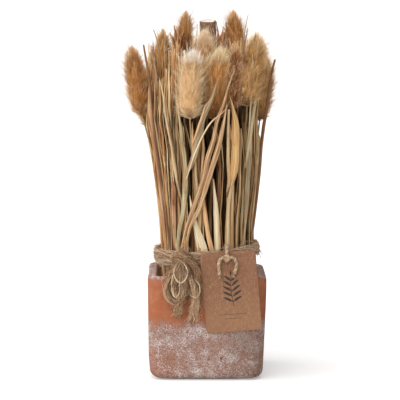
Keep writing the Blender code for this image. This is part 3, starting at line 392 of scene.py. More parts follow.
TIE_HEIGHT = 0.099
STEM_FOOT = 0.0083
STEM_MIDDLE = 0.060
FLOOR_SHARE = 0.868
RADIUS_IN_TIE = 0.0392
NARROWING = 0.0573
SPREAD = 0.2846
# A row: a height, the half width of the sheaf there, and the x of its middle.
SHEAF_SIDES = metres((
    (990, 392, 0), (1160, 391, -6), (1385, 405, -6), (1617, 441, -3), (1843, 453, -10), (2076, 464, -34),
    (2300, 475, -24), (2600, 490, -15), (3000, 510, -10),
))
SIDES_OF_LEAF = 8
STATIONS = 30
LEAF_HALF_THICKNESS = 0.00030
STRAIGHT_TO = 0.092
TIE_CLEAR = 0.112
BUNCHED_HALF = 0.0016


def sheaf_radius(height):
    """The sheaf's radius at a height."""
    above = np.maximum(np.asarray(height, float) - TIE_HEIGHT, 0.0)
    below = np.maximum(TIE_HEIGHT - np.asarray(height, float), 0.0)
    return RADIUS_IN_TIE - NARROWING * below + SPREAD * above ** 1.5


def sheaf_sides(height):
    """The sheaf's half width from side to side, and the x of its middle, at a height."""
    heights, widths, middles = zip(*SHEAF_SIDES)
    low = np.asarray(height) <= TIE_HEIGHT
    width = np.where(low, sheaf_radius(height), np.interp(height, heights, widths))
    return width, np.where(low, 0.0, np.interp(height, heights, middles))


def in_sheaf(share, height):
    """The place at a height that stands at these shares of the sheaf's half width and half depth."""
    width, middle = sheaf_sides(height)
    return np.array((middle + share[0] * width, share[1] * sheaf_radius(height)), float)


def out_in_sheaf(points):
    """How far points are from the sheaf's middle, as a share of the way to its outside."""
    width, middle = sheaf_sides(points[..., 2])
    return np.hypot((points[..., 0] - middle) / width, points[..., 1] / sheaf_radius(points[..., 2]))


def smooth_through(knots, at):
    """Values at places along a smooth curve through knots of (place, value, value...)."""
    table = np.array(knots, float)
    spots, values = table[:, 0], table[:, 1:]
    slopes = np.gradient(values, spots, axis=0)
    i = np.clip(np.searchsorted(spots, at, side="right") - 1, 0, len(spots) - 2)
    span = (spots[i + 1] - spots[i])[:, None]
    t = (np.asarray(at)[:, None] - spots[i][:, None]) / span
    return (
        (2 * t ** 3 - 3 * t ** 2 + 1) * values[i]
        + (t ** 3 - 2 * t ** 2 + t) * span * slopes[i]
        + (3 * t ** 2 - 2 * t ** 3) * values[i + 1]
        + (t ** 3 - t ** 2) * span * slopes[i + 1]
    )


def unit(vectors):
    """The same directions, one long."""
    return vectors / np.maximum(np.linalg.norm(vectors, axis=-1, keepdims=True), 1e-9)


def laid(name, sides, centre, across, width, thick, fold=None, tone=None):
    """Many copies of one straight closed strip, each laid along its own line.

    The strip is a cylinder with a ring at each station. centre holds each line's points, across the
    direction of the strip's width there, width and thick its half sizes, and fold how far its edges
    turn up. Each point keeps its place on its strip, for the grain."""
    count, rings = centre.shape[:2]
    steps = rings - 1
    bm = bmesh.new()
    bmesh.ops.create_cone(bm, cap_ends=True, segments=sides, radius1=1.0, radius2=1.0, depth=steps)
    if steps > 1:
        bmesh.ops.subdivide_edges(bm, edges=upright(bm, 0.5), cuts=steps - 1, use_grid_fill=True)
    bm.verts.index_update()
    points = np.array([v.co for v in bm.verts])
    corners = np.array([v.index for face in bm.faces for v in face.verts])
    sizes = np.array([len(face.verts) for face in bm.faces])
    bm.free()
    k = np.rint(points[:, 2] + steps / 2).astype(int)
    x, y = points[:, 0], points[:, 1]
    forward = unit(np.gradient(centre, axis=1))
    across = unit(across - (across * forward).sum(-1, keepdims=True) * forward)
    out = np.cross(forward, across)
    lift = thick[:, k] * y
    if fold is not None:
        lift = lift + fold[:, k] * width[:, k] * (np.abs(x) - 0.5)
    made = centre[:, k] + (width[:, k] * x)[..., None] * across[:, k] + lift[..., None] * out[:, k]
    mesh = bpy.data.meshes.new(name)
    mesh.vertices.add(count * len(points))
    mesh.vertices.foreach_set("co", made.reshape(-1).astype(np.float32))
    mesh.loops.add(count * len(corners))
    offset = np.arange(count)[:, None] * len(points)
    mesh.loops.foreach_set("vertex_index", (corners + offset).reshape(-1).astype(np.int32))
    mesh.polygons.add(count * len(sizes))
    starts = np.concatenate([[0], np.cumsum(np.tile(sizes, count))[:-1]])
    mesh.polygons.foreach_set("loop_start", starts.astype(np.int32))
    mesh.update(calc_edges=True)
    mesh.validate()
    length = np.linalg.norm(np.diff(centre, axis=1), axis=-1)
    along = np.concatenate([np.zeros((count, 1)), np.cumsum(length, axis=1)], axis=1)
    tone = np.arange(count) * 0.618 % 1.0 if tone is None else np.array(tone)
    own = np.broadcast_to((tone * 7.31 + np.arange(count) * 0.137)[:, None], made.shape[:2])
    put(mesh, "lie", np.stack([width[:, k] * x, own, along[:, k]], axis=-1))
    put(mesh, "tone", np.broadcast_to(tone[:, None], made.shape[:2]))
    put(mesh, "share", np.broadcast_to(k / steps, made.shape[:2]))
    put(mesh, "out", out_in_sheaf(made))
    mesh.shade_smooth()
    return mesh


def put(mesh, name, values):
    """Keeps a value at each point of a mesh, or a vector where there are three numbers for each."""
    kind, field = ("FLOAT_VECTOR", "vector") if values.ndim == 3 else ("FLOAT", "value")
    attribute = mesh.attributes.get(name) or mesh.attributes.new(name, kind, "POINT")
    attribute.data.foreach_set(field, np.ascontiguousarray(values, dtype=np.float32).reshape(-1))


def strands_of(name):
    """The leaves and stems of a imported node, each as its level rings from the tie upwards."""
    bm = bmesh.new()
    bm.from_mesh(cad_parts[name].data)
    bmesh.ops.remove_doubles(bm, verts=bm.verts, dist=1e-6)
    bm.verts.index_update()
    above = [v for v in bm.verts if v.co.z > TIE_HEIGHT - 0.0005]
    waiting = {v.index for v in above}
    strands = []
    for first in above:
        if first.index not in waiting:
            continue
        waiting.discard(first.index)
        island, border = [first], [first]
        while border:
            for edge in border.pop().link_edges:
                for v in edge.verts:
                    if v.index in waiting:
                        waiting.discard(v.index)
                        island.append(v)
                        border.append(v)
        rings = {}
        for v in island:
            rings.setdefault(round(v.co.z, 4), []).append(np.array(v.co))
        strands.append([np.array(rings[height]) for height in sorted(rings)])
    bm.free()
    return strands


def strand_knots(rings):
    """Knots of (height, x, y, half width, direction of the width) of one strand, and whether it is flat."""
    flat = len(rings[0]) == 4
    knots, before = [], None
    for ring in rings:
        middle = ring.mean(0)
        if flat and len(ring) == 4:
            ways = [(ring[0] + ring[a] - ring[b] - ring[c])[:2] / 2
                    for a, b, c in ((1, 2, 3), (2, 1, 3), (3, 1, 2))]
            way = max(ways, key=lambda w: np.linalg.norm(w) if before is None else abs(w @ before))
            if before is not None and way @ before <= 0:
                way = -way
            size = np.linalg.norm(way)
            before = way / size
            half, angle = size / 2, math.atan2(before[1], before[0])
        else:
            half, angle = np.linalg.norm(ring[:, :2] - middle[:2], axis=1).mean(), 0.0
        knots.append((middle[2], middle[0], middle[1], half, angle))
    first = knots[0]
    for low in (0.055, STEM_FOOT):
        share = FLOOR_SHARE + (1 - FLOOR_SHARE) * (low - STEM_FOOT) / (TIE_HEIGHT - STEM_FOOT)
        knots.insert(0, (low, first[1] * share, first[2] * share, min(first[3], BUNCHED_HALF), first[4]))
    return knots, flat


def stations(low, high, count=STATIONS):
    """Heights along a strand: few in the pot, and most above the tie."""
    if low > TIE_HEIGHT:
        return np.linspace(low, high, count)
    return np.concatenate([np.linspace(low, STRAIGHT_TO, 4, endpoint=False),
                           np.linspace(STRAIGHT_TO, high, count - 4)])


def wave(rng, heights, size):
    """A slow sideways wave of a dried strand, still where it is tied."""
    free = np.clip((heights - TIE_CLEAR) / 0.06, 0.0, 1.0) ** 1.2
    total = np.zeros((len(heights), 2))
    for length, part in ((0.075, 0.65), (0.034, 0.35)):
        for i in (0, 1):
            total[:, i] += part * np.sin(math.tau * heights / (length * rng.uniform(0.75, 1.3))
                                         + rng.uniform(0, math.tau))
    return size * free[:, None] * total


def leaf_lines(rng, knots, flat, sway=0.0005, count=STATIONS):
    """Stations of a strand: its centre line, the direction of its width, its half sizes and its fold."""
    heights = stations(knots[0][0], knots[-1][0], count)
    value = smooth_through(knots, heights)
    centre = np.concatenate([value[:, :2] + wave(rng, heights, sway), heights[:, None]], axis=1)
    above = np.clip((heights - TIE_HEIGHT) / 0.03, 0.0, 1.0)
    twist = above * rng.uniform(-0.35, 0.35)
    turn = value[:, 3] + (twist if flat else 0.0)
    across = np.stack([np.cos(turn), np.sin(turn), np.zeros(len(turn))], axis=1)
    to_tip = (knots[-1][0] - heights) / (knots[-1][0] - TIE_HEIGHT)
    if not flat:
        width = value[:, 2] * (1.0 - 0.35 * (1 - to_tip))
        return centre, across, width, width, np.zeros(len(heights))
    width = np.maximum(value[:, 2], 0.0005) * rng.uniform(0.92, 1.1)
    width = width * (1.0 + 0.07 * np.sin(heights * 230 + rng.uniform(0, 6)))
    width = width * np.clip(to_tip / 0.16, 0.10, 1.0) ** 0.7
    fold = above * (rng.uniform(0.25, 0.75) + 0.12 * np.sin(heights * 150 + rng.uniform(0, 6)))
    return centre, across, width, np.full(len(heights), LEAF_HALF_THICKNESS), fold


def kept(tree, name, output="Fac"):
    """What each point of a laid mesh keeps: its tone, share of the way and place out, or its lie."""
    return node(tree, "ShaderNodeAttribute", {"attribute_name": name}).outputs[output]


dried_strand = bpy.data.node_groups.new("dried_strand", "ShaderNodeTree")
for socket, kind, way in (("Own Colour", "Color", "INPUT"), ("Flecks", "Float", "INPUT"),
                          ("Streaks", "Float", "INPUT"), ("Bleached", "Float", "INPUT"),
                          ("Colour", "Color", "OUTPUT"), ("Ridges", "Float", "OUTPUT")):
    dried_strand.interface.new_socket(socket, in_out=way, socket_type="NodeSocket" + kind)
own, flecked, streaked, bleached = node(dried_strand, "NodeGroupInput").outputs[:4]
lie = kept(dried_strand, "lie", "Vector")
veins = grain_of(lie, (1500.0, 9.0, 40.0), 3.0)
flecks = grain_of(lie, (500.0, 31.0, 95.0), 4.0, 0.65)
patches = grain_of(lie, (60.0, 17.0, 22.0), 2.0)
deep = tinted(own, (0.46, 0.34, 0.23))
light = mix(0.42, own, (0.96, 0.785, 0.515))
colour = over(own, deep, veins, 0.60, 0.38, streaked)
colour = over(colour, light, veins, 0.53, 0.66, streaked)
colour = over(colour, deep, patches, 0.52, 0.72, 0.55)
colour = over(colour, light, patches, 0.42, 0.28, 0.40)
colour = over(colour, (0.185, 0.062, 0.020), flecks, 0.57, 0.66, flecked)
height = object_place(dried_strand)[1]["Z"]
# Painted light: by the bleached share, straws are painted lighter towards their tops, where the heads shade
# them, and below the tie, where its ring shades them.
ends = maths("MAXIMUM", fade(height, 0.205, 0.245), fade(height, 0.100, 0.090))
colour = mix(times(ends, bleached), colour, (1.000, 0.630, 0.300))
# Painted shade: straws deep inside the sheaf, above the tie and below the heads, are darkened where the
# straws around them shade them.
inside = times(fade(kept(dried_strand, "out"), 0.985, 0.81), fade(height, 0.245, 0.205))
inside = times(inside, fade(height, 0.084, 0.100))
colour = mix(times(inside, 0.96), colour, tinted(colour, (0.13, 0.080, 0.042)))
node(dried_strand, "NodeGroupOutput", Colour=colour, Ridges=veins)


# The bleached share is painted light: how much lighter the straws are painted at their tops and below the
# tie.
def dry_grass(name, *tones, spots=0.35, streaks=0.5, bleached=0.0, roughness=0.72):
    """Dried straw: a colour of its own for each strand, veins along it, brown flecks, and a dull gloss."""
    made, tree, shader = material(name, roughness, Specular_IOR_Level=0.3)
    tones = tones if len(tones) > 1 else tones * 2
    own = ramp(kept(tree, "tone"), *[(i / (len(tones) - 1), colour) for i, colour in enumerate(tones)])
    grass = node(tree, "ShaderNodeGroup", {"node_tree": dried_strand}, Own_Colour=own, Flecks=spots,
                 Streaks=streaks, Bleached=bleached)
    dressed(shader, grass.outputs["Colour"], grass.outputs["Ridges"], 0.5, 0.0003)
    return made


TAN = (0.625, 0.382, 0.172)
HONEY = (0.830, 0.440, 0.158)
OLIVE = (0.425, 0.303, 0.134)
SAGE = (0.665, 0.498, 0.256)
RUSSET = (0.660, 0.288, 0.098)
CREAM = (0.885, 0.695, 0.405)
UMBER = (0.325, 0.143, 0.054)
STRAW_FINISHES = {
    "straw": dry_grass("tan_straw", TAN, HONEY, (0.480, 0.300, 0.140), SAGE, CREAM, TAN, streaks=0.8,
                       bleached=0.30),
    "russet_straw": dry_grass("russet_straw", RUSSET, TAN, UMBER, HONEY, RUSSET, spots=0.6, streaks=0.8,
                              bleached=0.22),
    "sage_straw": dry_grass("sage_straw", SAGE, OLIVE, (0.560, 0.430, 0.240), TAN, SAGE, spots=0.25,
                            streaks=0.7, bleached=0.30),
    "cream_straw": dry_grass("cream_straw", CREAM, TAN, (0.760, 0.570, 0.340), spots=0.25, streaks=0.55,
                             bleached=0.25),
}
STRAW_ORDER = ("straw", "russet_straw", "sage_straw", "straw", "cream_straw")


def strips(lines):
    """The lines' stations, gathered for laying."""
    return [np.array(part) for part in zip(*lines)]


rng = np.random.default_rng(4)
leafy = sorted(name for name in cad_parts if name.startswith("leafy_stem"))
for i, name in enumerate(leafy):
    slot = STRAW_ORDER[i % len(STRAW_ORDER)]
    lines = [leaf_lines(rng, *strand_knots(rings)) for rings in strands_of(name)]
    mesh = laid(name + "_grass", SIDES_OF_LEAF, *strips(lines), tone=rng.random(len(lines)))
    piece(name + "_grass", mesh, STRAW_FINISHES[slot], slot, name)


# The reed: one thick cane, sawn off square above the rest. Its bark is mauve-brown with dark streaks, an
# old leaf sheath still hugs its right side, and the pith in the cut is pale and a little sunk.
REED_RADIUS = 0.0068
REED_TAPER = 0.93
REED_TOP = 0.2918
REED_PLACE = np.array((0.0008, 0.0120))
REED_LEAN = 0.0015
REED_SLANT = 0.16
REED_BARK_FROM = 0.0055
REED_RIPPLE = 0.00028
SHEATH_TOP = 0.2845
SHEATH_RADIUS = REED_RADIUS + 0.00035
SHEATH_LENGTH = 0.110
SHEATH_OPEN_FROM = -0.0022

bm = bmesh.new()
bmesh.ops.create_cone(bm, cap_ends=True, segments=40, radius1=REED_RADIUS * REED_TAPER, radius2=REED_RADIUS,
                      depth=REED_TOP - STEM_FOOT)
bmesh.ops.translate(bm, vec=(0.0, 0.0, (REED_TOP + STEM_FOOT) / 2), verts=bm.verts)
bmesh.ops.subdivide_edges(bm, edges=upright(bm, 0.1), cuts=40, use_grid_fill=True)
for v in bm.verts:
    down = (REED_TOP - v.co.z) / (REED_TOP - STEM_FOOT)
    v.co.x += REED_PLACE[0]
    v.co.y += REED_PLACE[1] - REED_LEAN * down
top = max(bm.faces, key=lambda face: face.calc_center_median().z)
for v in top.verts:
    v.co.z += REED_SLANT * (v.co.y - REED_PLACE[1] - REED_RADIUS)
bmesh.ops.inset_region(bm, faces=[top], thickness=0.0005)
bmesh.ops.inset_region(bm, faces=[top], thickness=0.0004, depth=-0.0004)
reed_mesh = meshed(bm, "reed")
for v in reed_mesh.vertices:
    away = Vector((v.co.x - REED_PLACE[0], v.co.y - REED_PLACE[1], 0.0))
    ripple = noise.noise(Vector((v.co.x * 420, v.co.y * 420, v.co.z * 30)))
    if away.length > REED_BARK_FROM:
        v.co += away.normalized() * REED_RIPPLE * ripple
reed_mesh.shade_smooth()
reed_mesh.set_sharp_from_angle(angle=math.radians(50))

bark, tree, shader = material("reed_bark", 0.62, Specular_IOR_Level=0.35)
place, apart = object_place(tree)
streak = grain_of(place, (520.0, 520.0, 28.0), 4.0, 0.6)
shade = ramp(streak, (0.28, (0.095, 0.040, 0.021)), (0.46, (0.230, 0.118, 0.062)),
             (0.62, (0.310, 0.180, 0.104)), (0.80, (0.420, 0.268, 0.165)))
shade = over(shade, (0.230, 0.130, 0.095), grain_of(place, 45.0, 2.0), 0.45, 0.7, 0.45)
facing = node(tree, "ShaderNodeSeparateXYZ", Vector=node(tree, "ShaderNodeNewGeometry").outputs["Normal"])
cut = times(fade(facing.outputs["Z"], 0.6, 0.9), fade(apart["Z"], REED_TOP - 0.0050, REED_TOP - 0.0040))
cut = times(cut, fade(apart["X"], REED_PLACE[0] + 0.0056, REED_PLACE[0] + 0.0046))
pith = ramp(grain_of(place, 1500.0, 2.0), (0.35, (0.760, 0.640, 0.560)), (0.65, (0.930, 0.860, 0.800)))
dressed(shader, mix(cut, shade, pith), streak, 0.6, 0.0005)
piece("reed", reed_mesh, bark, "reed", "cut_stalk")

bm = bmesh.new()
bmesh.ops.create_cone(bm, cap_ends=False, segments=40, radius1=SHEATH_RADIUS, radius2=SHEATH_RADIUS,
                      depth=SHEATH_LENGTH)
bmesh.ops.translate(bm, vec=(0.0, 0.0, SHEATH_LENGTH / 2), verts=bm.verts)
bmesh.ops.delete(bm, geom=[v for v in bm.verts if v.co.x < SHEATH_OPEN_FROM], context="VERTS")
bmesh.ops.subdivide_edges(bm, edges=upright(bm, 0.1), cuts=24, use_grid_fill=True)
for v in bm.verts:
    ragged = 0.004 * noise.noise(Vector((v.co.x * 600, v.co.y * 600, 0.0)))
    if v.co.z > SHEATH_LENGTH - 0.0015:
        v.co.z += ragged
    v.co += Vector((*REED_PLACE, SHEATH_TOP - SHEATH_LENGTH))
bmesh.ops.recalc_face_normals(bm, faces=bm.faces)
sheath_mesh = shaped(meshed(bm, "reed_sheath"), ("SOLIDIFY", {"thickness": 0.0006, "offset": 1.0}))
sheath_mesh.shade_smooth()
piece("reed_sheath", sheath_mesh, bark, "reed")


# The stalks and leaves that show singly at the front: each is laid on the face of the sheaf, inside the
# tie and a little outside the straws above it. Two long leaves cross from left to right.
STRIP_SIDES = 12
FRONT_FOLD = 1.9
FRONT_SWAY = 0.0001
TUCKED_IN = 0.0006
FRONT_FLOOR_SHARE = 0.97

# Each has its form, its finish, how far it lies off the sheaf, and its places as (x, height, width).
FRONT_STRIPS = {
    "cream_sheath": ("leaf", "cream_straw", 4, ((-30, 1030, 80), (-70, 1166, 74), (-108, 1297, 46),
        (-140, 1502, 14))),
    "cream_stalk": ("stalk", "cream_straw", 10, ((86, 1034, 60), (81, 1216, 60), (70, 1405, 52),
        (58, 1545, 28), (50, 1640, 14))),
    "knotty_stem": ("stalk", "honey_stem", 20, ((174, 1029, 36), (168, 1253, 36), (174, 1475, 40),
        (178, 1540, 54), (180, 1620, 44), (170, 1800, 38), (168, 2000, 34), (172, 2200, 28))),
    "crossing_leaf_left": ("leaf", "tan_leaf", 32, ((-212, 1030, 22), (-195, 1110, 24), (-162, 1260, 28),
        (-124, 1372, 32), (-85, 1480, 37), (-28, 1633, 42), (9, 1819, 43), (46, 1932, 38), (83, 2118, 28),
        (128, 2228, 22), (171, 2385, 18), (223, 2542, 14))),
    "crossing_leaf_right": ("leaf", "tan_leaf", 50, ((-184, 1030, 22), (-166, 1110, 24), (-134, 1260, 28),
        (-65, 1409, 36), (-6, 1596, 40), (53, 1782, 43), (98, 1932, 38), (128, 2080, 30), (144, 2170, 22),
        (158, 2255, 14))),
    "broad_brown_leaf": ("leaf", "brown_leaf", 10, ((-335, 1030, 30), (-370, 1350, 36), (-405, 1700, 34),
        (-440, 2000, 44), (-466, 2230, 64), (-462, 2400, 46), (-448, 2560, 14))),
    "olive_leaf": ("leaf", "olive_leaf", 18, ((-248, 1039, 32), (-228, 1223, 42), (-202, 1373, 50),
        (-187, 1522, 50), (-178, 1670, 44), (-191, 1819, 40), (-210, 1968, 32), (-224, 2118, 24),
        (-236, 2250, 14))),
    "grey_leaf": ("leaf", "grey_leaf", 18, ((300, 1030, 26), (322, 1350, 32), (338, 1600, 52),
        (345, 1740, 62), (347, 1870, 60), (356, 2030, 48), (372, 2150, 32), (388, 2245, 14))),
    "brown_twig_left": ("stalk", "brown_twig", 52, ((-300, 1030, 18), (-345, 1400, 22), (-395, 1750, 24),
        (-446, 2178, 28), (-468, 2464, 28), (-491, 2584, 28), (-515, 2713, 22))),
    "brown_twig_right": ("stalk", "brown_twig", 42, ((362, 1030, 18), (402, 1400, 24), (434, 1723, 28),
        (446, 1884, 34), (462, 2020, 38), (482, 2150, 38), (501, 2287, 36), (523, 2463, 32),
        (556, 2594, 26))),
}
# The leaves that branch off two of them: how much further out they lie, and their places.
SIDE_LEAVES = {
    "knotty_stem": (8, ((178, 1540, 30), (216, 1661, 58), (230, 1866, 66), (232, 2030, 60),
        (224, 2120, 48), (202, 2230, 34), (180, 2316, 14))),
    "olive_leaf": (8, ((-180, 1640, 20), (-122, 1794, 52), (-97, 1895, 62), (-58, 2043, 48),
        (-38, 2118, 36), (-3, 2201, 34), (36, 2290, 40), (67, 2385, 28), (101, 2468, 14))),
}
# Single blades, twigs and strands that are too fine for a solid of their own.
FINE_STRIPS = {
    "orange_stem": ("leaf", "honey_stem", 6, ((46, 1030, 36), (20, 1130, 38), (-17, 1373, 34),
        (-30, 1480, 30), (-36, 1600, 22), (-36, 1760, 16), (-26, 1900, 10))),
    "pale_strand": ("leaf", "tan_leaf", 76, ((-168, 1640, 8), (-95, 1858, 11), (-35, 1992, 12),
        (46, 2118, 13), (137, 2193, 12), (175, 2262, 8))),
    "orange_strand": ("leaf", "tan_leaf", 62, ((-124, 1900, 12), (-100, 1966, 16), (-34, 2170, 18),
        (-10, 2240, 16), (46, 2304, 10))),
    "spotted_leaf": ("leaf", "brown_leaf", 14, ((-258, 1040, 28), (-268, 1150, 36), (-274, 1300, 42),
        (-276, 1450, 48), (-279, 1580, 44), (-284, 1650, 14))),
    "knot_husk": ("leaf", "brown_twig", 50, ((160, 1490, 6), (170, 1535, 22), (184, 1585, 20),
        (196, 1630, 7))),
    "dark_blade": ("leaf", "brown_twig", 10, ((-400, 2300, 14), (-417, 2506, 24), (-438, 2647, 28),
        (-436, 2700, 20), (-434, 2752, 10))),
    "fine_twig_1": ("stalk", "brown_twig", 10, ((-380, 2500, 10), (-400, 2743, 13), (-414, 2790, 14),
        (-432, 2835, 10))),
    "fine_twig_2": ("stalk", "brown_twig", 10, ((296, 2560, 12), (303, 2735, 16), (316, 2800, 16),
        (322, 2850, 9))),
    "fine_twig_3": ("stalk", "brown_twig", 8, ((290, 2640, 8), (298, 2800, 10), (312, 2890, 9),
        (326, 2955, 6))),
    "olive_blade_1": ("leaf", "olive_leaf", 36, ((310, 1720, 20), (344, 1905, 30), (372, 2110, 40),
        (400, 2290, 44), (418, 2440, 32), (428, 2570, 12))),
    "olive_blade_2": ("leaf", "olive_leaf", 26, ((318, 1800, 16), (338, 2000, 26), (352, 2200, 30),
        (362, 2380, 26), (366, 2540, 16), (362, 2640, 9))),
}
FRONT_FINISHES = {
    slot: dry_grass(name, *tones, spots=spots, streaks=streaks)
    for slot, name, spots, streaks, *tones in (
        ("cream_straw", "cream_stalks", 0.12, 0.45, (0.880, 0.740, 0.500), (0.860, 0.720, 0.460)),
        ("honey_stem", "honey_stems", 0.35, 0.55, (0.720, 0.530, 0.300), (0.800, 0.500, 0.210)),
        ("tan_leaf", "tan_leaves", 0.15, 0.9, (0.660, 0.430, 0.240), (0.600, 0.380, 0.230)),
        ("brown_leaf", "brown_leaves", 0.3, 0.8, (0.560, 0.320, 0.170), (0.520, 0.290, 0.140)),
        ("olive_leaf", "olive_leaves", 0.2, 0.7, (0.600, 0.510, 0.300), (0.480, 0.370, 0.215)),
        ("grey_leaf", "grey_leaves", 0.2, 0.7, (0.420, 0.335, 0.200), (0.380, 0.300, 0.170)),
        ("brown_twig", "brown_twigs", 0.5, 0.5, (0.240, 0.115, 0.056), (0.200, 0.095, 0.046)))
}
FINE_FINISHES = {
    "spotted_leaf": dry_grass("spotted_leaf", (0.430, 0.205, 0.095), spots=1.0, streaks=0.8),
    "pale_strand": dry_grass("pale_strand", (0.820, 0.620, 0.400), spots=0.1),
    "orange_stem": dry_grass("orange_stem", (0.780, 0.440, 0.190), spots=0.3),
    "orange_strand": dry_grass("orange_strand", (0.700, 0.380, 0.180), spots=0.2),
}


def front_knots(rows, lift, round_section=False):
    """Knots of (height, x, y, half width, direction of the width) for a strip laid on the sheaf's face."""
    knots = []
    for x, height, width in metres(rows):
        share = min(max((height - TIE_CLEAR) / 0.018, 0.0), 1.0)
        out = -TUCKED_IN + (metres(lift) + TUCKED_IN) * share - (width / 2 if round_section else 0.0)
        half, middle = sheaf_sides(height)
        aside = min(abs(x - middle) / (half + out), 0.97)
        y = -float(sheaf_radius(height) + out) * math.sqrt(1.0 - aside ** 2)
        knots.append((height, x, y, width / 2, math.atan2(x, -y)))
    return knots


rng = np.random.default_rng(8)
for name, (form, slot, lift, rows) in FRONT_STRIPS.items():
    knots = front_knots(rows, lift, form == "stalk")
    first = knots[0]
    for low in (STEM_MIDDLE, STEM_FOOT):
        share = FRONT_FLOOR_SHARE * float(sheaf_radius(low) / sheaf_radius(first[0]))
        knots.insert(0, (low, first[1] * share, first[2] * share, min(first[3], BUNCHED_HALF), first[4]))
    lines = [leaf_lines(rng, knots, form == "leaf", FRONT_SWAY)]
    if name in SIDE_LEAVES:
        further, rows = SIDE_LEAVES[name]
        side = front_knots(rows, lift + further)
        root = smooth_through(knots, np.array([side[0][0]]))[0]
        side[0] = (side[0][0], root[0], root[1], *side[0][3:])
        low = (side[0][0] - 0.012, root[0], root[1], 0.0006, side[0][4])
        lines.append(leaf_lines(rng, [low, *side], True, FRONT_SWAY))
    centre, across, width, thick, fold = strips(lines)
    mesh = laid(name + "_dried", STRIP_SIDES, centre, across, width, thick, FRONT_FOLD * fold,
                tone=[0.0, 1.0][:len(lines)])
    piece(name + "_dried", mesh, FRONT_FINISHES[slot], slot, name)
for name, (form, slot, lift, rows) in FINE_STRIPS.items():
    line = leaf_lines(rng, front_knots(rows, lift), form == "leaf", FRONT_SWAY)
    mesh = laid(name, STRIP_SIDES, *strips([line]), tone=[1.0])
    piece(name, mesh, FINE_FINISHES.get(name, FRONT_FINISHES[slot]), slot)


# The hare's tails: soft oval heads of fine silky awns round a slim core, each on a wiry stem. They
# stand among the straws with their awns pointing up and out. Three at the front have bleached paler.
FAWN_HEADS = (2, 8, 9, 10, 13)
AWNS_EACH = 3000
AWN_RADIUS = 0.00012
AWN_TAPER = (1.0, 0.9, 0.7, 0.35)
LOCKS_ROUND = 22
LOCK_ROWS = 8
CORE_SHARE = 0.66
CORE_TOP_SHARE = 0.88
STEM_RADIUS = 0.00065
PLAIN_BLUNT = 3.0
BLUNTNESS = {1: 3.8, 4: 6.5, 5: 6.0, 6: 5.5, 8: 4.6}
BLUNT_FROM = 4.0
LONG_HAIR = 0.0029
LONGEST_HAIR = 0.0095
# A row: the head's tip and its base, as (x, y, height), and its radius.
HARE_TAILS = metres((
    ((-620, -50, 2714), (-534, -50, 2140), 96),
    ((-362, 80, 2846), (-380, 80, 2360), 78),
    ((-172, 10, 2990), (-189, 10, 2552), 70),
    ((-113, -465, 2685), (-137, -455, 2135), 100),
    ((103, -385, 2705), (68, -380, 2123), 98),
    ((-17, -205, 2838), (-8, -205, 2418), 80),
    ((214, 20, 2999), (256, 20, 2552), 80),
    ((402, -290, 2823), (325, -290, 2227), 108),
    ((500, -30, 2613), (436, -20, 2096), 90),
    ((460, 290, 2760), (385, 250, 2220), 92),
    ((180, 440, 2690), (160, 420, 2130), 98),
    ((-90, 360, 2745), (-80, 330, 2250), 85),
    ((-300, 460, 2620), (-270, 430, 2060), 96),
    ((-560, 240, 2560), (-480, 210, 2030), 92),
    ((-50, 560, 2650), (-45, 520, 2100), 90),
))


def head_stem(base, tip):
    """Knots of (height, x, y) for a head's stem, from the floor through the tie to its base and tip."""
    width, leaning = sheaf_sides(base[2])
    share = np.array(((base[0] - leaning) / width, base[1] / sheaf_radius(base[2])))
    reach = np.linalg.norm(share)
    gripped = share * min(1.0, 0.915 / reach)
    halfway = (share + gripped) / 2 * min(1.0, 0.955 / reach)
    knots = [(h, *in_sheaf(gripped, h)) for h in (STEM_FOOT, STEM_MIDDLE, TIE_HEIGHT)]
    middle = (TIE_HEIGHT + base[2]) / 2
    knots.append((middle, *in_sheaf(halfway, middle)))
    return [*knots, (base[2], *base[:2]), (tip[2], *tip[:2])]


def head_outline(share, blunt):
    """The half width over the awns, part of the way up a head, as a share of the most."""
    low = 1.0 - (1.0 - np.clip(share / (0.24 if blunt > BLUNT_FROM else 0.34), 0.0, 1.0)) ** 2.4
    high = 1.0 - np.clip((share - 0.38) / 0.62, 0.0, 1.0) ** blunt
    return np.maximum(low, 0.0) ** 0.45 * np.maximum(high, 0.0) ** 0.62


def joined(name, meshes):
    """One mesh of several, their values at each point kept."""
    bm = bmesh.new()
    for mesh in meshes:
        bm.from_mesh(mesh)
    made = meshed(bm, name)
    made.shade_smooth()
    return made


def level(turn):
    """Level directions at these turns."""
    return np.stack([np.cos(turn), np.sin(turn), np.zeros(len(turn))], axis=1)


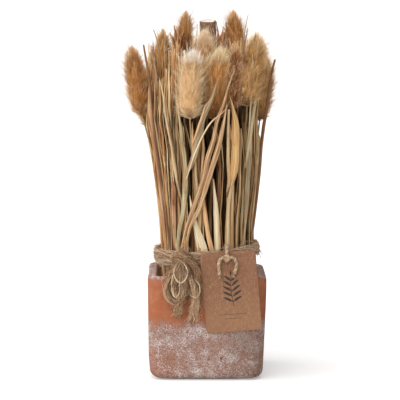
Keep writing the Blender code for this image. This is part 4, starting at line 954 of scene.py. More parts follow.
def awned_head(rng, name, base, tip, radius, awns, core, awn_radius, strays=0.17, blunt=PLAIN_BLUNT,
               tuft=0.0015):
    """A head: its stem, its core, and awns that leave the core and curve up and out to the outline."""
    base, tip = np.array(base), np.array(tip)
    knots = head_stem(base, tip)
    length = tip[2] - base[2]
    core_top = base[2] + CORE_TOP_SHARE * length

    def core_out(height, share):
        """The core's half width, drawn in at the foot and rounded at the top."""
        round_top = np.sqrt(np.clip((core_top - height) / (0.25 * length), 0.0, 1.0))
        outline = head_outline(np.maximum(share, 0.02), blunt)
        return core * radius * outline * round_top * np.clip(share / 0.14, 0.1, 1.0)

    def on_axis(height):
        """Places on the axis of the stem and the head."""
        return np.concatenate([smooth_through(knots, np.minimum(height, tip[2])), height[:, None]], axis=1)

    heights = np.concatenate([np.linspace(STEM_FOOT, base[2] - 0.002, 12),
                              base[2] + (core_top - base[2]) * np.linspace(0.0, 1.0, 12) ** 1.3])
    girth = core_out(heights, np.clip((heights - base[2]) / length, 0.02, 1.0)) + 0.0004
    girth = np.where(heights < base[2] - 1e-6, STEM_RADIUS, girth)[None]
    across = np.ones((1, len(heights), 1)) * np.array([1.0, 0.0, 0.0])
    stem_mesh = laid(name, 16, on_axis(heights)[None], across, girth, girth, tone=[0.5])
    stem_heights = np.array([v.co.z for v in stem_mesh.vertices])
    put(stem_mesh, "share", np.where(stem_heights < base[2] - 0.001, 0.10, 0.22))

    reach = rng.random(awns)
    turn = rng.uniform(0.0, math.tau, awns)
    stray = rng.random(awns) < strays
    loose = np.where(stray, rng.uniform(1.10, 1.60, awns), rng.uniform(0.70, 1.12, awns))
    tip_out = radius * np.maximum(head_outline(reach, blunt), 0.10) * loose
    in_crown = reach > (0.90 if blunt > BLUNT_FROM else 0.93)
    tip_out = tip_out * np.where(in_crown, rng.random(awns) ** 0.4, 1.0)
    tip_height = base[2] + reach * length - 0.0012
    tip_height = tip_height + np.where(reach > 0.82, rng.exponential(0.5, awns).clip(0, 2.0) * tuft, 0.0)
    long_hair = np.where(stray, rng.exponential(LONG_HAIR, awns).clip(0.0, LONGEST_HAIR), 0.0)
    tip_out = tip_out + 0.6 * long_hair * np.clip(reach * 1.4, 0.3, 1.0)
    tip_height = tip_height + long_hair * np.clip(reach - 0.25, 0.0, 0.8)
    rise = rng.uniform(0.25, 0.85, awns) * radius + 0.5 * long_hair
    rise = rise * np.interp(reach, (0.0, 0.04, 0.15, 0.8, 1.0), (-0.3, 0.2, 0.9, 1.2, 1.9))
    foot_height = np.clip(tip_height - rise, base[2] + 0.0004, core_top - 0.0002)
    foot_out = 0.9 * core_out(foot_height, (foot_height - base[2]) / length)
    row = np.floor(reach * LOCK_ROWS)
    lock = np.floor(turn / math.tau * LOCKS_ROUND + 0.5 * row)
    lock_turn = (lock + 0.5 - 0.5 * row) / LOCKS_ROUND * math.tau
    lock_tone = rng.random((LOCK_ROWS + 1, 2 * LOCKS_ROUND))[row.astype(int), lock.astype(int)]
    swing = np.where(stray, 0.0, 0.62) * (lock_turn - turn) + rng.normal(0.0, 0.09, awns)
    around, turned = level(turn), level(turn + swing)
    root = on_axis(foot_height) + around * foot_out[:, None]
    end = on_axis(tip_height) + turned * tip_out[:, None]
    mid = on_axis(foot_height + 0.45 * (tip_height - foot_height))
    mid = mid + turned * (foot_out + 0.66 * (tip_out - foot_out))[:, None]
    t = np.linspace(0.0, 1.0, len(AWN_TAPER))[None, :, None]
    centre = (1 - t) ** 2 * root[:, None] + 2 * t * (1 - t) * mid[:, None] + t ** 2 * end[:, None]
    across = np.cross(around, (0.0, 0.0, 1.0))[:, None] * np.ones((1, len(AWN_TAPER), 1))
    thin = (awn_radius * rng.uniform(0.7, 1.25, awns) * np.where(stray, 0.80, 1.0))[:, None]
    thin = thin * np.array(AWN_TAPER)
    tone = np.clip(lock_tone + rng.uniform(-0.22, 0.22, awns), 0.0, 1.0)
    return joined(name, [stem_mesh, laid(name + "_awns", 3, centre, across, thin, thin, tone=tone)])


def silky(name, root, middle, tip, depth=0.94, top=None, foot=None, sheen=0.30):
    """Silky awns: dark where they leave the core, lighter to their tips, with a soft sheen. A head may be
    bleached from the top or browner at the foot: each takes a colour, a share and two heights."""
    made, tree, shader = material(name, 0.85, Sheen_Weight=sheen, Sheen_Roughness=0.5,
                                  Sheen_Tint=(1.0, 0.78, 0.50), Specular_IOR_Level=0.10)
    share, tone = kept(tree, "share"), kept(tree, "tone")
    place, apart = object_place(tree)
    colour = ramp(share, (0.0, root), (0.5, middle), (1.0, tip))
    # Painted shade: darker locks and darker tufts stand for the shadows between them, as deep as depth.
    colour = over(colour, tinted(colour, (0.44, 0.33, 0.24)), tone, 0.55, 0.05, depth)
    colour = over(colour, (0.92, 0.78, 0.58), tone, 0.62, 1.0, 0.50)
    tufts = grain_of(place, (420.0, 420.0, 130.0), 3.0)
    colour = over(colour, tinted(colour, (0.56, 0.40, 0.26)), tufts, 0.50, 0.32, depth)
    colour = mix(fade(share, 0.13, 0.12), colour, (0.400, 0.275, 0.135))
    if foot:
        darker, most, low, high = foot
        colour = over(colour, tinted(colour, darker), apart["Z"], high, low, most)
    if top:
        paler, most, low, high = top
        colour = over(colour, paler, apart["Z"], low, high, most)
    fill(shader.inputs["Base Color"], colour)
    return made


# A bleached head has its colours from root to tip, the depth of its shadows, and a paler colour with its
# share and how far down it reaches.
BLEACHED = {
    4: ((0.720, 0.400, 0.160), (1.000, 0.720, 0.390), (1.000, 0.860, 0.600), 0.46, (1.0, 0.93, 0.82), 0.95,
        0.012),
    5: ((0.450, 0.180, 0.044), (0.840, 0.440, 0.140), (1.000, 0.680, 0.300), 0.66, (1.0, 0.86, 0.58), 0.85,
        0.015),
    6: ((0.450, 0.215, 0.070), (0.760, 0.440, 0.175), (0.920, 0.665, 0.370), 0.60, (1.0, 0.84, 0.63), 0.72,
        0.014),
}
BLEACHED_FULLY = 0.0030
BROWN_FOOT = {5: ((0.46, 0.31, 0.20), 0.90, 0.042)}
golden = silky("golden_awns", (0.420, 0.160, 0.036), (0.700, 0.340, 0.100), (0.880, 0.540, 0.230))
fawn = silky("fawn_awns", (0.460, 0.215, 0.066), (0.790, 0.470, 0.175), (0.970, 0.720, 0.380))
rng = np.random.default_rng(21)
for i, (tip, base, radius) in enumerate(HARE_TAILS, 1):
    name = f"hare_tail_{i:02d}"
    finish = fawn if i in FAWN_HEADS else golden
    if i in BLEACHED:
        *tones, depth, paler, most, reach = BLEACHED[i]
        full = tip[2] - BLEACHED_FULLY
        foot = None
        if i in BROWN_FOOT:
            darker, share, high = BROWN_FOOT[i]
            foot = (darker, share, base[2], base[2] + high)
        finish = silky(f"bleached_awns_{i}", *tones, depth, (paler, most, full - reach, full), foot)
    mesh = awned_head(rng, name + "_head", base, tip, radius, AWNS_EACH, CORE_SHARE, AWN_RADIUS,
                      blunt=BLUNTNESS.get(i, PLAIN_BLUNT), tuft=0.0024 if i in BLEACHED else 0.0014)
    piece(name + "_head", mesh, finish, "pale_hare_tail" if i in BLEACHED else "hare_tail", name)


# The seed plumes: brown heads of stiff bristles on thin stems, slimmer than the hare's tails and ragged
# at the edge. They stand among the straws as the hare's tails do.
PLUMES = metres((
    ((228, -330, 2735), (210, -330, 2210), 60),
    ((-240, 230, 2840), (-225, 215, 2330), 55),
))
BRISTLES_EACH = 1300
BRISTLE_RADIUS = 0.00019
BRISTLES_OUT = 1.30
bristle = silky("bristle_brown", (0.240, 0.070, 0.022), (0.680, 0.280, 0.098), (1.000, 0.760, 0.470), 0.88,
                sheen=0.05)
rng = np.random.default_rng(31)
for i, (tip, base, radius) in enumerate(PLUMES, 1):
    name = f"seed_plume_{i}"
    mesh = awned_head(rng, name + "_bristles", base, tip, radius * BRISTLES_OUT, BRISTLES_EACH, 0.34,
                      BRISTLE_RADIUS, 0.34)
    piece(name + "_bristles", mesh, bristle, "seed_plume", name)


# The husk sprays: thin stems whose upper ends carry brown papery husks, curled, split and standing
# a little open, one above the other.
HUSK_SPRAYS = (
    ((-0.450, -0.150), 0.2860),
    ((0.250, -0.200), 0.2850),
    ((0.420, 0.420), 0.2860),
)
HUSK_ZONE = 0.050
HUSK_ZONE_END = 0.015
HUSKS_EACH = 34
# Along a husk: the part of its length, how far it stands out there, and its half width.
HUSK_SHAPE = ((0.35, 0.0028, 0.0044), (0.75, 0.0052, 0.0038), (1.0, 0.0064, 0.0014))
husk_paper = dry_grass("husk_paper", (0.640, 0.320, 0.130), (0.330, 0.140, 0.058), (0.780, 0.470, 0.240),
                       (0.500, 0.225, 0.090), spots=0.5, streaks=0.8, roughness=0.85)
rng = np.random.default_rng(17)
for i, (share, top) in enumerate(HUSK_SPRAYS, 1):
    name = f"husk_spray_{i}"
    knots = [(h, *in_sheaf(share, h), 0.0011, 0.0) for h in (STEM_FOOT, TIE_HEIGHT, 0.190, top - 0.006)]
    lines = [leaf_lines(rng, knots, False, 0.0)]
    for k in range(HUSKS_EACH):
        low = top - HUSK_ZONE + (HUSK_ZONE - HUSK_ZONE_END) * k / (HUSKS_EACH - 1)
        length = rng.uniform(0.013, 0.023)
        turn = 2.4 * k + rng.uniform(-0.4, 0.4)
        out = np.array([math.cos(turn), math.sin(turn)]) * rng.uniform(0.6, 1.15)
        foot = smooth_through(knots, np.array([low]))[0][:2]
        rows = [(low, *foot, 0.0006, turn + math.pi / 2)]
        for part, reach, half in HUSK_SHAPE:
            curled_to = turn + math.pi / 2 + rng.uniform(-0.3, 0.3)
            rows.append((low + part * length, *(foot + out * reach), half, curled_to))
        lines.append(leaf_lines(rng, rows, True, 0.0))
    mesh = laid(name + "_husks", SIDES_OF_LEAF, *strips(lines), tone=rng.random(len(lines)))
    piece(name + "_husks", mesh, husk_paper, "husk", name)


# The loose straws: the many thin stems and narrow leaves that fill the sheaf between the rest. They
# part round the heads and the reed, and those in front of a head are broken off below it.
LOOSE_STRAWS = 1150
LOOSE_STATIONS = 16
LOOSE_SIDES = 4
LOOSE_REACH = 0.985
LOOSE_SWAY = 0.0010
LEFT_KINDS = ("straw", "russet_straw", "straw", "russet_straw", "cream_straw", "russet_straw", "straw")
RIGHT_KINDS = ("straw", "russet_straw", "sage_straw", "russet_straw", "cream_straw", "sage_straw", "straw")
STRAW_KNOTS = (STEM_FOOT, STEM_MIDDLE, TIE_HEIGHT, 0.125, 0.150, 0.175, 0.200, 0.212, 0.225, 0.237, 0.250,
               0.263, 0.276)
FEWEST_KNOTS = 5
ROUND_REED = REED_RADIUS + 0.0012
ROUND_HEAD = 0.86
BELOW_HEAD = 0.010
# In front of the heads: between two heights and two x, a straw may not stand further forward than a y.
KEPT_CLEAR = (
    (0.205, 0.220, -0.0245, 0.0450, -0.024),
    (0.220, 1.000, -0.0245, 0.0450, -0.016),
    (0.246, 1.000, -0.0430, -0.0290, 0.000),
)


def clear_of(point, height, radial):
    """Where a straw's centre may be at a height: pushed off the reed and the heads, or None before them."""
    away = point - REED_PLACE
    apart = np.linalg.norm(away)
    if apart < ROUND_REED:
        point = REED_PLACE + away / max(apart, 1e-6) * ROUND_REED
    for knots, radius, base in head_spaces:
        if height < base - BELOW_HEAD:
            continue
        middle = smooth_through(knots, np.array([min(height, knots[-1][0])]))[0]
        near = radius * ROUND_HEAD * min(1.0, max(0.15, (height - base + BELOW_HEAD) / 0.014)) + 0.0008
        away = point - middle
        apart = np.linalg.norm(away)
        if apart < near:
            if away @ radial > 0.0:
                return None
            point = middle + away / max(apart, 1e-6) * near
    for low, high, left, right, face in KEPT_CLEAR:
        if low < height <= high and left < point[0] < right and point[1] < face:
            return None
    return point


head_spaces = [(head_stem(base, tip), radius, base[2]) for tip, base, radius in HARE_TAILS + PLUMES]
rng = np.random.default_rng(5)
bundles = {slot: [] for slot in STRAW_FINISHES}
tones = {slot: [] for slot in STRAW_FINISHES}
for k in range(LOOSE_STRAWS):
    turn = 2.39996 * k + rng.uniform(-0.2, 0.2)
    reach = LOOSE_REACH * (1.0 - (k + rng.random()) / LOOSE_STRAWS) ** 0.30
    share = reach * np.array([math.cos(turn), math.sin(turn)])
    radial = share / max(reach, 1e-6)
    sideways = np.array([-radial[1], radial[0]])
    lean = rng.uniform(-0.05, 0.03) + 0.05 * max(0.0, -radial[0])
    drift = rng.normal(0.0, 0.15)
    top = rng.uniform(0.232, 0.287) - 0.014 * reach
    if rng.random() < 0.14:
        top = rng.uniform(0.150, 0.230)
    at_front = radial[1] < -0.75 and abs(radial[0]) < 0.45
    in_gap = at_front and -0.10 < radial[0] < 0.24
    thinned = 0.84 if in_gap else 0.62 if at_front else 0.45 if radial[1] < 0.0 else 0.0
    if rng.random() < thinned and reach > 0.72:
        continue
    flat = rng.random() < 0.66
    half = rng.uniform(0.0009, 0.0024) if flat else rng.uniform(0.0005, 0.0010)
    angle = turn + math.pi / 2 + rng.normal(0.0, 0.7)
    knots = []
    for height in (*(h for h in STRAW_KNOTS if h < top - 0.004), top):
        free = max(0.0, (height - TIE_HEIGHT) / (0.28 - TIE_HEIGHT))
        here = share * (1.0 + lean * free) + sideways * drift * free
        here *= min(1.0, (LOOSE_REACH + 0.05 * free) / np.linalg.norm(here))
        point = in_sheaf(here, height)
        if height > TIE_HEIGHT + 0.001:
            point = clear_of(point, height, radial)
        if point is None:
            height = knots[-1][0] + rng.uniform(0.15, 0.85) * (height - knots[-1][0])
            knots.append((height, *in_sheaf(here, height), half * 0.6, angle))
            break
        knots.append((height, *point, half * (1.0 - 0.22 * free), angle))
    if len(knots) < FEWEST_KNOTS:
        continue
    kinds = LEFT_KINDS if share[0] < -0.15 else RIGHT_KINDS
    slot = kinds[int(rng.integers(len(kinds)))]
    bundles[slot].append(leaf_lines(rng, knots, flat, LOOSE_SWAY, LOOSE_STATIONS))
    tones[slot].append(rng.random())
for slot, lines in bundles.items():
    mesh = laid("loose_" + slot, LOOSE_SIDES, *strips(lines), tone=tones[slot])
    piece("loose_" + slot, mesh, STRAW_FINISHES[slot], slot)


# The jute tie: one soft, barely spun length of raw jute, wound three times round the sheaf just above
# the rim, knotted at the left of the front, and let hang in a messy bow with two frayed ends.
RING_RADIUS = 0.0414
# Each turn has its height and its radius.
WRAPS = ((0.0976, 0.0025), (0.1006, 0.0027), (0.1034, 0.0025))
WRAP_TILT = 0.050
WRAP_FIBRES = 800
KNOT = (-205, -425, 1008)
# The radii along each part of the bow, and its places from the knot outwards.
BOW = {
    "knot": (30, 50, 30),
    "left_loop": (22, 25, 24, 22, 25, 22, 26),
    "inner_loop": (18, 22, 18, 16, 20),
    "right_loop": (26, 30, 28, 24, 22, 24, 26),
    "left_tail": (22, 28, 20, 30, 18),
    "right_tail": (22, 22, 24, 30, 40),
    "painted_shadow_strand": (22, 24, 26, 24, 18, 12),
}
BOW_LINES = {
    "knot": ((-285, -385, 975), KNOT, (-120, -430, 985)),
    "left_loop": (KNOT, (-258, -500, 905), (-318, -514, 800), (-322, -512, 715), (-276, -514, 655),
        (-218, -524, 660), (-186, -528, 750), (-196, -515, 870), KNOT),
    "inner_loop": (KNOT, (-240, -515, 880), (-262, -532, 780), (-238, -538, 690), (-205, -538, 740),
        (-212, -528, 850)),
    "right_loop": ((-190, -440, 995), (-125, -470, 965), (-78, -495, 890), (-86, -503, 800),
        (-122, -506, 715), (-158, -508, 770), (-150, -500, 870), (-180, -470, 960)),
    "left_tail": ((-205, -525, 790), (-212, -535, 700), (-232, -535, 620), (-246, -528, 560),
        (-250, -524, 520)),
    "right_tail": ((-150, -500, 880), (-112, -520, 770), (-96, -524, 660), (-110, -522, 560),
        (-120, -520, 475)),
    "painted_shadow_strand": ((-150, -440, 985), (-90, -478, 900), (-66, -488, 790), (-60, -490, 690),
        (-66, -490, 610), (-74, -488, 560)),
}
# Painted shade: the right loop and the painted shadow strand take dark tones where the bow and the tag shade
# the pot; the right tail takes pale ones.
BOW_TONES = {"right_loop": (0.0, 0.40), "right_tail": (0.35, 0.95), "painted_shadow_strand": (0.06, 0.34)}
BOW_FIBRES = {"painted_shadow_strand": 230}
PALE_LOOPS = metres((
    ((-215, -460, 990), (-262, -545, 930), (-262, -562, 865), (-218, -570, 812), (-168, -566, 850),
        (-160, -545, 920), (-210, -460, 985)),
    ((-225, -460, 985), (-268, -540, 890), (-286, -558, 790), (-262, -562, 700), (-222, -566, 730),
        (-220, -560, 820), (-208, -480, 960)),
    ((-116, -510, 850), (-66, -545, 800), (-60, -550, 740), (-85, -555, 690), (-128, -556, 706),
        (-140, -545, 740)),
))
PALE_YARN = (0.00035, 0.00048, 0.00035)
PALE_FIBRES = 24
FIBRE_RADIUS = 0.00016


def read_at(values, at):
    """Values along a curve, read between its points."""
    spots = np.linspace(0.0, 1.0, len(values))
    columns = np.array(values).reshape(len(values), -1).T
    return np.stack([np.interp(at, spots, column) for column in columns], axis=-1)


def along_curve(points, count):
    """Points evenly along a smooth curve, and two directions across it that turn as little as may be."""
    at = np.linspace(0.0, 1.0, len(points))
    line = smooth_through([(a, *p) for a, p in zip(at, points)], np.linspace(0.0, 1.0, 6 * count))
    length = np.concatenate([[0.0], np.cumsum(np.linalg.norm(np.diff(line, axis=0), axis=1))])
    even = np.linspace(0.0, length[-1], count)
    line = np.stack([np.interp(even, length, line[:, i]) for i in range(3)], axis=1)
    forward = unit(np.gradient(line, axis=0))
    side = np.array([0.13, 0.21, 0.97])
    sides = []
    for direction in forward:
        side = side - (side @ direction) * direction
        side = side / np.linalg.norm(side)
        sides.append(side)
    sides = np.array(sides)
    return line, sides, np.cross(forward, sides), length[-1]


def roving(rng, points, radii, fibres, share=0.45, turns=90.0, thick=FIBRE_RADIUS, closed=False, fray=0.0,
           count=13, hairy=0.16):
    """Lines of the fibres of a soft spun length of jute: each winds round the others for part of the way.

    Some stand out of it as hairs, and an open length frays at its end."""
    line, first, second, length = along_curve(points, 160)
    radius = read_at(radii, np.linspace(0, 1, 160))
    part = share * rng.uniform(0.6, 1.2, fibres)
    start = rng.uniform(0.0, 1.0, fibres) if closed else rng.uniform(0.0, 1.0, fibres) * (1.0 - part)
    step = np.linspace(0.0, 1.0, count)
    at = start[:, None] + part[:, None] * step
    at = at % 1.0 if closed else at
    reach = rng.uniform(0.25, 1.0, fibres)[:, None] ** 0.5
    wobble = rng.normal(0.0, 0.30, (fibres, count)).cumsum(axis=1) * 0.45
    stray = rng.random(fibres)[:, None] < hairy
    curl = rng.uniform(0.3, 1.5, (fibres, 1)) * np.sin(math.pi * step) ** 2
    rough = 0.10 * rng.normal(0.0, 1.0, (fibres, count)).cumsum(axis=1).clip(-2.0, 2.0)
    angle = rng.uniform(0, math.tau, fibres)[:, None] + turns * length * at + wobble
    spread = 1.0 + fray * np.clip((at - 0.82) / 0.18, 0.0, 1.0) ** 2 * rng.uniform(0.2, 1.8, (fibres, 1))
    out = read_at(radius, at)[..., 0] * (reach + rough + np.where(stray, curl, 0.0)) * spread
    centre = read_at(line, at) + (out * np.cos(angle))[..., None] * read_at(first, at)
    centre = centre + (out * np.sin(angle))[..., None] * read_at(second, at)
    taper = np.minimum(step * 6, (1 - step) * 6).clip(0.25, 1)
    width = thick * rng.uniform(0.6, 1.6, fibres)[:, None] * taper * np.where(stray, 0.7, 1.0)
    across = np.ones((fibres, count, 1)) * np.array([0.3, 0.5, 0.81])
    return centre, across, width, width


def core_of(points, radii, share, closed=False, count=60):
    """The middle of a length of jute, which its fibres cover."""
    line, first = along_curve(points, count)[:2]
    radius = share * read_at(radii, np.linspace(0, 1, count))[..., 0]
    radius[[0, -1]] *= 1.0 if closed else 0.5
    return line[None], first[None], radius[None], radius[None]


def jute(name, dark, middle, light):
    """Raw jute: dull matted fibres, each of its own shade."""
    made, tree, shader = material(name, 0.9, Sheen_Weight=0.15, Specular_IOR_Level=0.2)
    shade = ramp(kept(tree, "tone"), (0.0, dark), (0.45, middle), (1.0, light))
    mottle = grain_of(kept(tree, "lie", "Vector"), (900.0, 40.0, 260.0), 3.0)
    shade = over(shade, tinted(shade, (0.55, 0.48, 0.42)), mottle, 0.55, 0.35, 0.6)
    dressed(shader, shade, mottle, 0.5, 0.0003)
    return made


raw_jute = jute("raw_jute", (0.140, 0.060, 0.024), (0.640, 0.400, 0.220), (1.000, 0.850, 0.630))
# The bow's jute is a darker, redder copy of the raw jute: painted shade, as the bow hangs in shadow.
bow_jute_painted_shade = jute("bow_jute_painted_shade", (0.125, 0.050, 0.020), (0.600, 0.355, 0.185), (0.980, 0.790, 0.560))
pale_yarn = jute("pale_yarn", (0.500, 0.330, 0.180), (0.780, 0.580, 0.370), (0.930, 0.790, 0.590))
rng = np.random.default_rng(12)
turnings = np.linspace(0.0, math.tau, 65)[:-1]
bands = []
for k, (height, radius) in enumerate(WRAPS):
    lumps, ring = [], []
    for a in turnings:
        way = Vector((math.cos(a), math.sin(a), 0.0))
        lumpy = noise.noise(Vector((7 * math.cos(a), 7 * math.sin(a), 3.1 * k)))
        lumps.append(radius * (1.0 + 0.30 * lumpy))
        far = RING_RADIUS + 0.0009 * noise.noise(5.0 * way + Vector((0.0, 0.0, 9.0 + k)))
        uneven = 0.0020 * noise.noise(2.6 * way + Vector((0.0, 0.0, 5.0 * k)))
        lift = WRAP_TILT * RING_RADIUS * way.x + 0.0008 * way.y + uneven
        ring.append((far * way.x, far * way.y, height + lift))
    ring.append(ring[0])
    lumps.append(lumps[0])
    core = core_of(ring, lumps, 0.74, closed=True, count=120)
    bands.append(laid("wrap_core", 10, *core, tone=[0.18]))
    lines = roving(rng, ring, lumps, WRAP_FIBRES, share=0.12, turns=60.0, closed=True, count=12, hairy=0.14)
    bands.append(laid("wrap_fibres", 3, *lines, tone=0.12 + 0.88 * rng.random(WRAP_FIBRES)))
piece("jute_wraps", joined("jute_wraps", bands), raw_jute, "jute", "jute_tie")

bow = []
for name, points in BOW_LINES.items():
    points, radii = metres(points), metres(BOW[name])
    bow.append(laid("bow_core", 9, *core_of(points, radii, 0.60), tone=[0.10]))
    fibres = BOW_FIBRES.get(name, 460)
    lines = roving(rng, points, radii, fibres, share=0.30, turns=40.0, fray=0.9 if "tail" in name else 0.0,
                   count=11, hairy=0.20)
    low, high = BOW_TONES.get(name, (0.0, 0.80))
    bow.append(laid("bow_fibres", 3, *lines, tone=low + (high - low) * rng.random(fibres)))
piece("jute_bow", joined("jute_bow", bow), bow_jute_painted_shade, "jute", "jute_tie")

loops = []
for points in PALE_LOOPS:
    lines = roving(rng, points, PALE_YARN, PALE_FIBRES, share=0.7, turns=320.0, thick=0.00013, count=22)
    loops.append(laid("pale_loop", 3, *lines, tone=rng.random(PALE_FIBRES)))
piece("jute_yarn_loops", joined("jute_yarn_loops", loops), pale_yarn, "jute")


# The tag: a small kraft card with rounded corners and a punched hole, leaning on the pot's front. It
# carries a plain printed sprig over two ruled lines, in dark ink.
TAG_SIZE = (0.0450, 0.0008, 0.0650)
TAG_CORNER = 0.0035
TAG_HOLE_RADIUS = 0.0025
TAG_TOP = 0.0062
TAG_CUTS = 12
TAG_PLACE = Matrix.Translation((0.0170, -0.0487, 0.0992)) @ Matrix.Rotation(math.radians(-5.0), 4, "Y")
INK_LIFT = 0.43
INK_HALF_THICKNESS = 0.00004
STROKE_STATIONS = 12

bm = bmesh.new()
bmesh.ops.create_cube(bm, size=1.0)
bmesh.ops.scale(bm, vec=TAG_SIZE, verts=bm.verts)
bmesh.ops.translate(bm, vec=(0.0, 0.0, TAG_TOP - TAG_SIZE[2] / 2), verts=bm.verts)
rounded(bm, [e for e in bm.edges if abs(e.verts[0].co.y - e.verts[1].co.y) > TAG_SIZE[1] / 2], TAG_CORNER, 6)
card = meshed(bm, "card")
bm = bmesh.new()
bmesh.ops.create_cone(bm, cap_ends=True, segments=28, radius1=TAG_HOLE_RADIUS, radius2=TAG_HOLE_RADIUS,
                      depth=0.01)
bmesh.ops.rotate(bm, verts=bm.verts, matrix=Matrix.Rotation(math.radians(90.0), 3, "X"))
punch = placed("punch", meshed(bm, "punch"))
card = shaped(card, ("BOOLEAN", {"operation": "DIFFERENCE", "object": punch}),
              ("BEVEL", {"width": 0.00012, "segments": 2, "limit_method": "ANGLE"}))
bpy.data.objects.remove(punch)
bm = bmesh.new()
bm.from_mesh(card)
for k in range(1, TAG_CUTS):
    for normal, spot in (((1.0, 0.0, 0.0), (TAG_SIZE[0] * (k / TAG_CUTS - 0.5), 0.0, 0.0)),
                         ((0.0, 0.0, 1.0), (0.0, 0.0, TAG_TOP - TAG_SIZE[2] * k / TAG_CUTS))):
        bmesh.ops.bisect_plane(bm, geom=[*bm.verts, *bm.edges, *bm.faces], plane_co=spot, plane_no=normal)


def curled(x, z):
    """How far the card has curled forward, there."""
    down = max(0.0, (TAG_TOP - z) / TAG_SIZE[2])
    return 0.0005 * (2 * x / TAG_SIZE[0]) ** 2 * down + 0.0003 * down ** 2


for v in bm.verts:
    v.co.y -= curled(v.co.x, v.co.z)
bm.transform(TAG_PLACE)
bm.to_mesh(card)
bm.free()
card.shade_smooth()
card.set_sharp_from_angle(angle=math.radians(35))

kraft, tree, shader = material("kraft_card", 0.82, Specular_IOR_Level=0.3)
place, apart = object_place(tree)
pulp = grain_of(place, 260.0, 5.0, 0.7)
shade = ramp(pulp, (0.30, (0.209, 0.094, 0.049)), (0.52, (0.254, 0.120, 0.064)),
             (0.75, (0.304, 0.152, 0.085)))
for turn, scale in ((20.0, (2300.0, 500.0, 380.0)), (-50.0, (2500.0, 500.0, 420.0)),
                    (80.0, (2100.0, 500.0, 350.0))):
    turned = node(tree, "ShaderNodeMapping", Vector=place, Scale=scale,
                  Rotation=(0.0, math.radians(turn), 0.0))
    fibre = grain_of(turned.outputs[0], 1.0, 1.0)
    shade = over(shade, (0.540, 0.340, 0.205), fibre, 0.66, 0.74, 0.5)
    shade = over(shade, (0.190, 0.085, 0.045), fibre, 0.33, 0.26, 0.45)
# Painted highlight: the card's colour is lighter towards its bottom, where it curls out into the light.
shade = over(shade, (0.520, 0.300, 0.150), apart["Z"], 0.092, 0.040, 0.20)
dressed(shader, shade, pulp, 0.25, 0.0002)
piece("kraft_tag", card, kraft, "kraft_card", "tag")

strokes = []


def printed(*rows):
    """A flat inked stroke on the card through (x, z, half width), all in millimetres."""
    points = [(x, -INK_LIFT - 1000 * curled(x / 1000, z / 1000), z) for x, z, half in rows]
    spots = np.linspace(0.0, 1.0, len(rows))
    at = np.linspace(0.0, 1.0, STROKE_STATIONS)
    centre = smooth_through([(a, *p) for a, p in zip(spots, np.array(points) / 1000)], at)
    width = np.interp(at, spots, [row[2] for row in rows]) / 1000
    across = np.cross(unit(np.gradient(centre, axis=0)), (0.0, 1.0, 0.0))
    strokes.append((centre, across, width, np.full(STROKE_STATIONS, INK_HALF_THICKNESS)))


printed((1.5, -38.0, 0.30), (0.4, -30.0, 0.28), (0.2, -22.0, 0.24), (0.8, -12.5, 0.12))
for z, reach, rise in ((-34.5, 7.6, 4.2), (-30.2, 7.8, 4.6), (-26.0, 7.2, 4.8), (-21.8, 6.2, 4.8),
                       (-17.6, 4.8, 4.6)):
    for hand in (-1.0, 1.0):
        stalk = 0.5 + 0.6 * (-z - 12) / 26
        printed((stalk, z, 0.14), (stalk + hand * reach * 0.35, z + rise * 0.42, 1.15),
                (stalk + hand * reach * 0.72, z + rise * 0.78, 0.95), (stalk + hand * reach, z + rise, 0.12))
printed((0.8, -13.0, 0.15), (1.0, -10.8, 0.85), (1.3, -8.6, 0.12))
for z, reach in ((-44.5, 11.0), (-48.0, 7.0)):
    printed((-reach, z, 0.16), (0.0, z, 0.16), (reach, z, 0.16))
print_mesh = laid("tag_print", 6, *strips(strokes))
print_mesh.transform(TAG_PLACE)
ink, tree, shader = material("dark_ink", 0.7, Specular_IOR_Level=0.2)
worn = grain_of(node(tree, "ShaderNodeTexCoord").outputs["Object"], 1400.0, 3.0)
fill(shader.inputs["Base Color"], ramp(worn, (0.35, (0.045, 0.030, 0.024)), (0.72, (0.095, 0.062, 0.045))))
piece("tag_print", print_mesh, ink, "kraft_card")


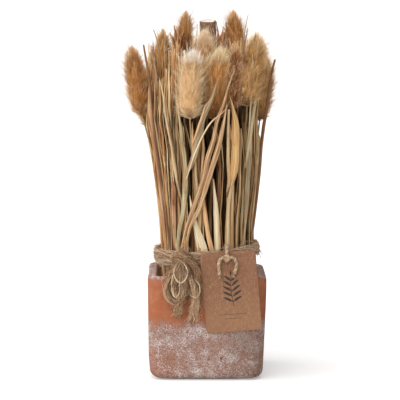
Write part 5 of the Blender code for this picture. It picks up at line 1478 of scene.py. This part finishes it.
# The twine: two plies of thin jute, looped round the tie behind the tag, brought through its hole and
# knotted in front, with two short frayed ends.
TWINE_PLY = 0.00078
TWINE_PITCH = 0.0042
HAIRS_PER_METRE = 2600
END_FIBRES = 26
TWINE_KNOT = (160, -513, 1004)
TWINE_LOOP = metres((
    TWINE_KNOT, (160, -504, 1038), (160, -504, 1060), (160, -489, 1076), (160, -455, 1099),
    (154, -395, 1094), (147, -376, 1058), (147, -376, 990), (147, -376, 922), (154, -395, 896),
    (160, -437, 918), (160, -469, 983), (160, -488, 1003), TWINE_KNOT,
))
TWINE_ENDS = metres((
    (TWINE_KNOT, (122, -512, 1010), (94, -510, 962), (100, -510, 868)), (TWINE_KNOT, (204, -512, 1012),
    (236, -510, 965), (222, -510, 880)),
))
TWINE_KNOT_TURNS = metres((
    ((140, -516, 1010), (160, -524, 1022), (180, -516, 1006), (160, -508, 990), (140, -514, 1004)),
    ((146, -510, 984), (168, -524, 994), (172, -516, 1018), (152, -510, 1022), (142, -516, 996)),
))


def plied(rng, points, count):
    """Two plies wound round each other along a curve, with a few hairs on them."""
    line, first, second, length = along_curve(points, count)
    turn = math.tau * length / TWINE_PITCH * np.linspace(0.0, 1.0, count)
    made = []
    for phase, tone in ((0.0, 0.35), (math.pi, 0.85)):
        way = np.cos(turn + phase)[:, None] * first + np.sin(turn + phase)[:, None] * second
        width = np.full((1, count), TWINE_PLY)
        width[:, [0, -1]] *= 0.5
        centre = line + TWINE_PLY * 0.9 * way
        made.append(laid("ply", 7, centre[None], first[None], width, width, tone=[tone]))
    hairs = max(12, int(length * HAIRS_PER_METRE))
    lines = roving(rng, points, (TWINE_PLY * 2.1,), hairs, share=0.22, turns=-900.0, thick=0.00007, count=12)
    made.append(laid("twine_hairs", 3, *lines, tone=rng.random(hairs)))
    return made


twine_finish = jute("twine_jute", (0.330, 0.190, 0.095), (0.520, 0.350, 0.200), (0.700, 0.540, 0.360))
rng = np.random.default_rng(44)
twine = plied(rng, TWINE_LOOP, 170)
for points in TWINE_ENDS:
    twine += plied(rng, points, 46)
    end = np.array(points[-1])
    tip = end + (end - np.array(points[-2])) * 0.45
    lines = roving(rng, (end, (end + tip) / 2, tip), (0.0007, 0.0010, 0.0016), END_FIBRES, share=0.9,
                   turns=60.0, thick=0.00010, count=6)
    twine.append(laid("frayed_end", 3, *lines, tone=rng.random(END_FIBRES)))
for points in TWINE_KNOT_TURNS:
    twine += plied(rng, points, 30)
piece("tag_twine", joined("tag_twine", twine), twine_finish, "twine", "tag_string")
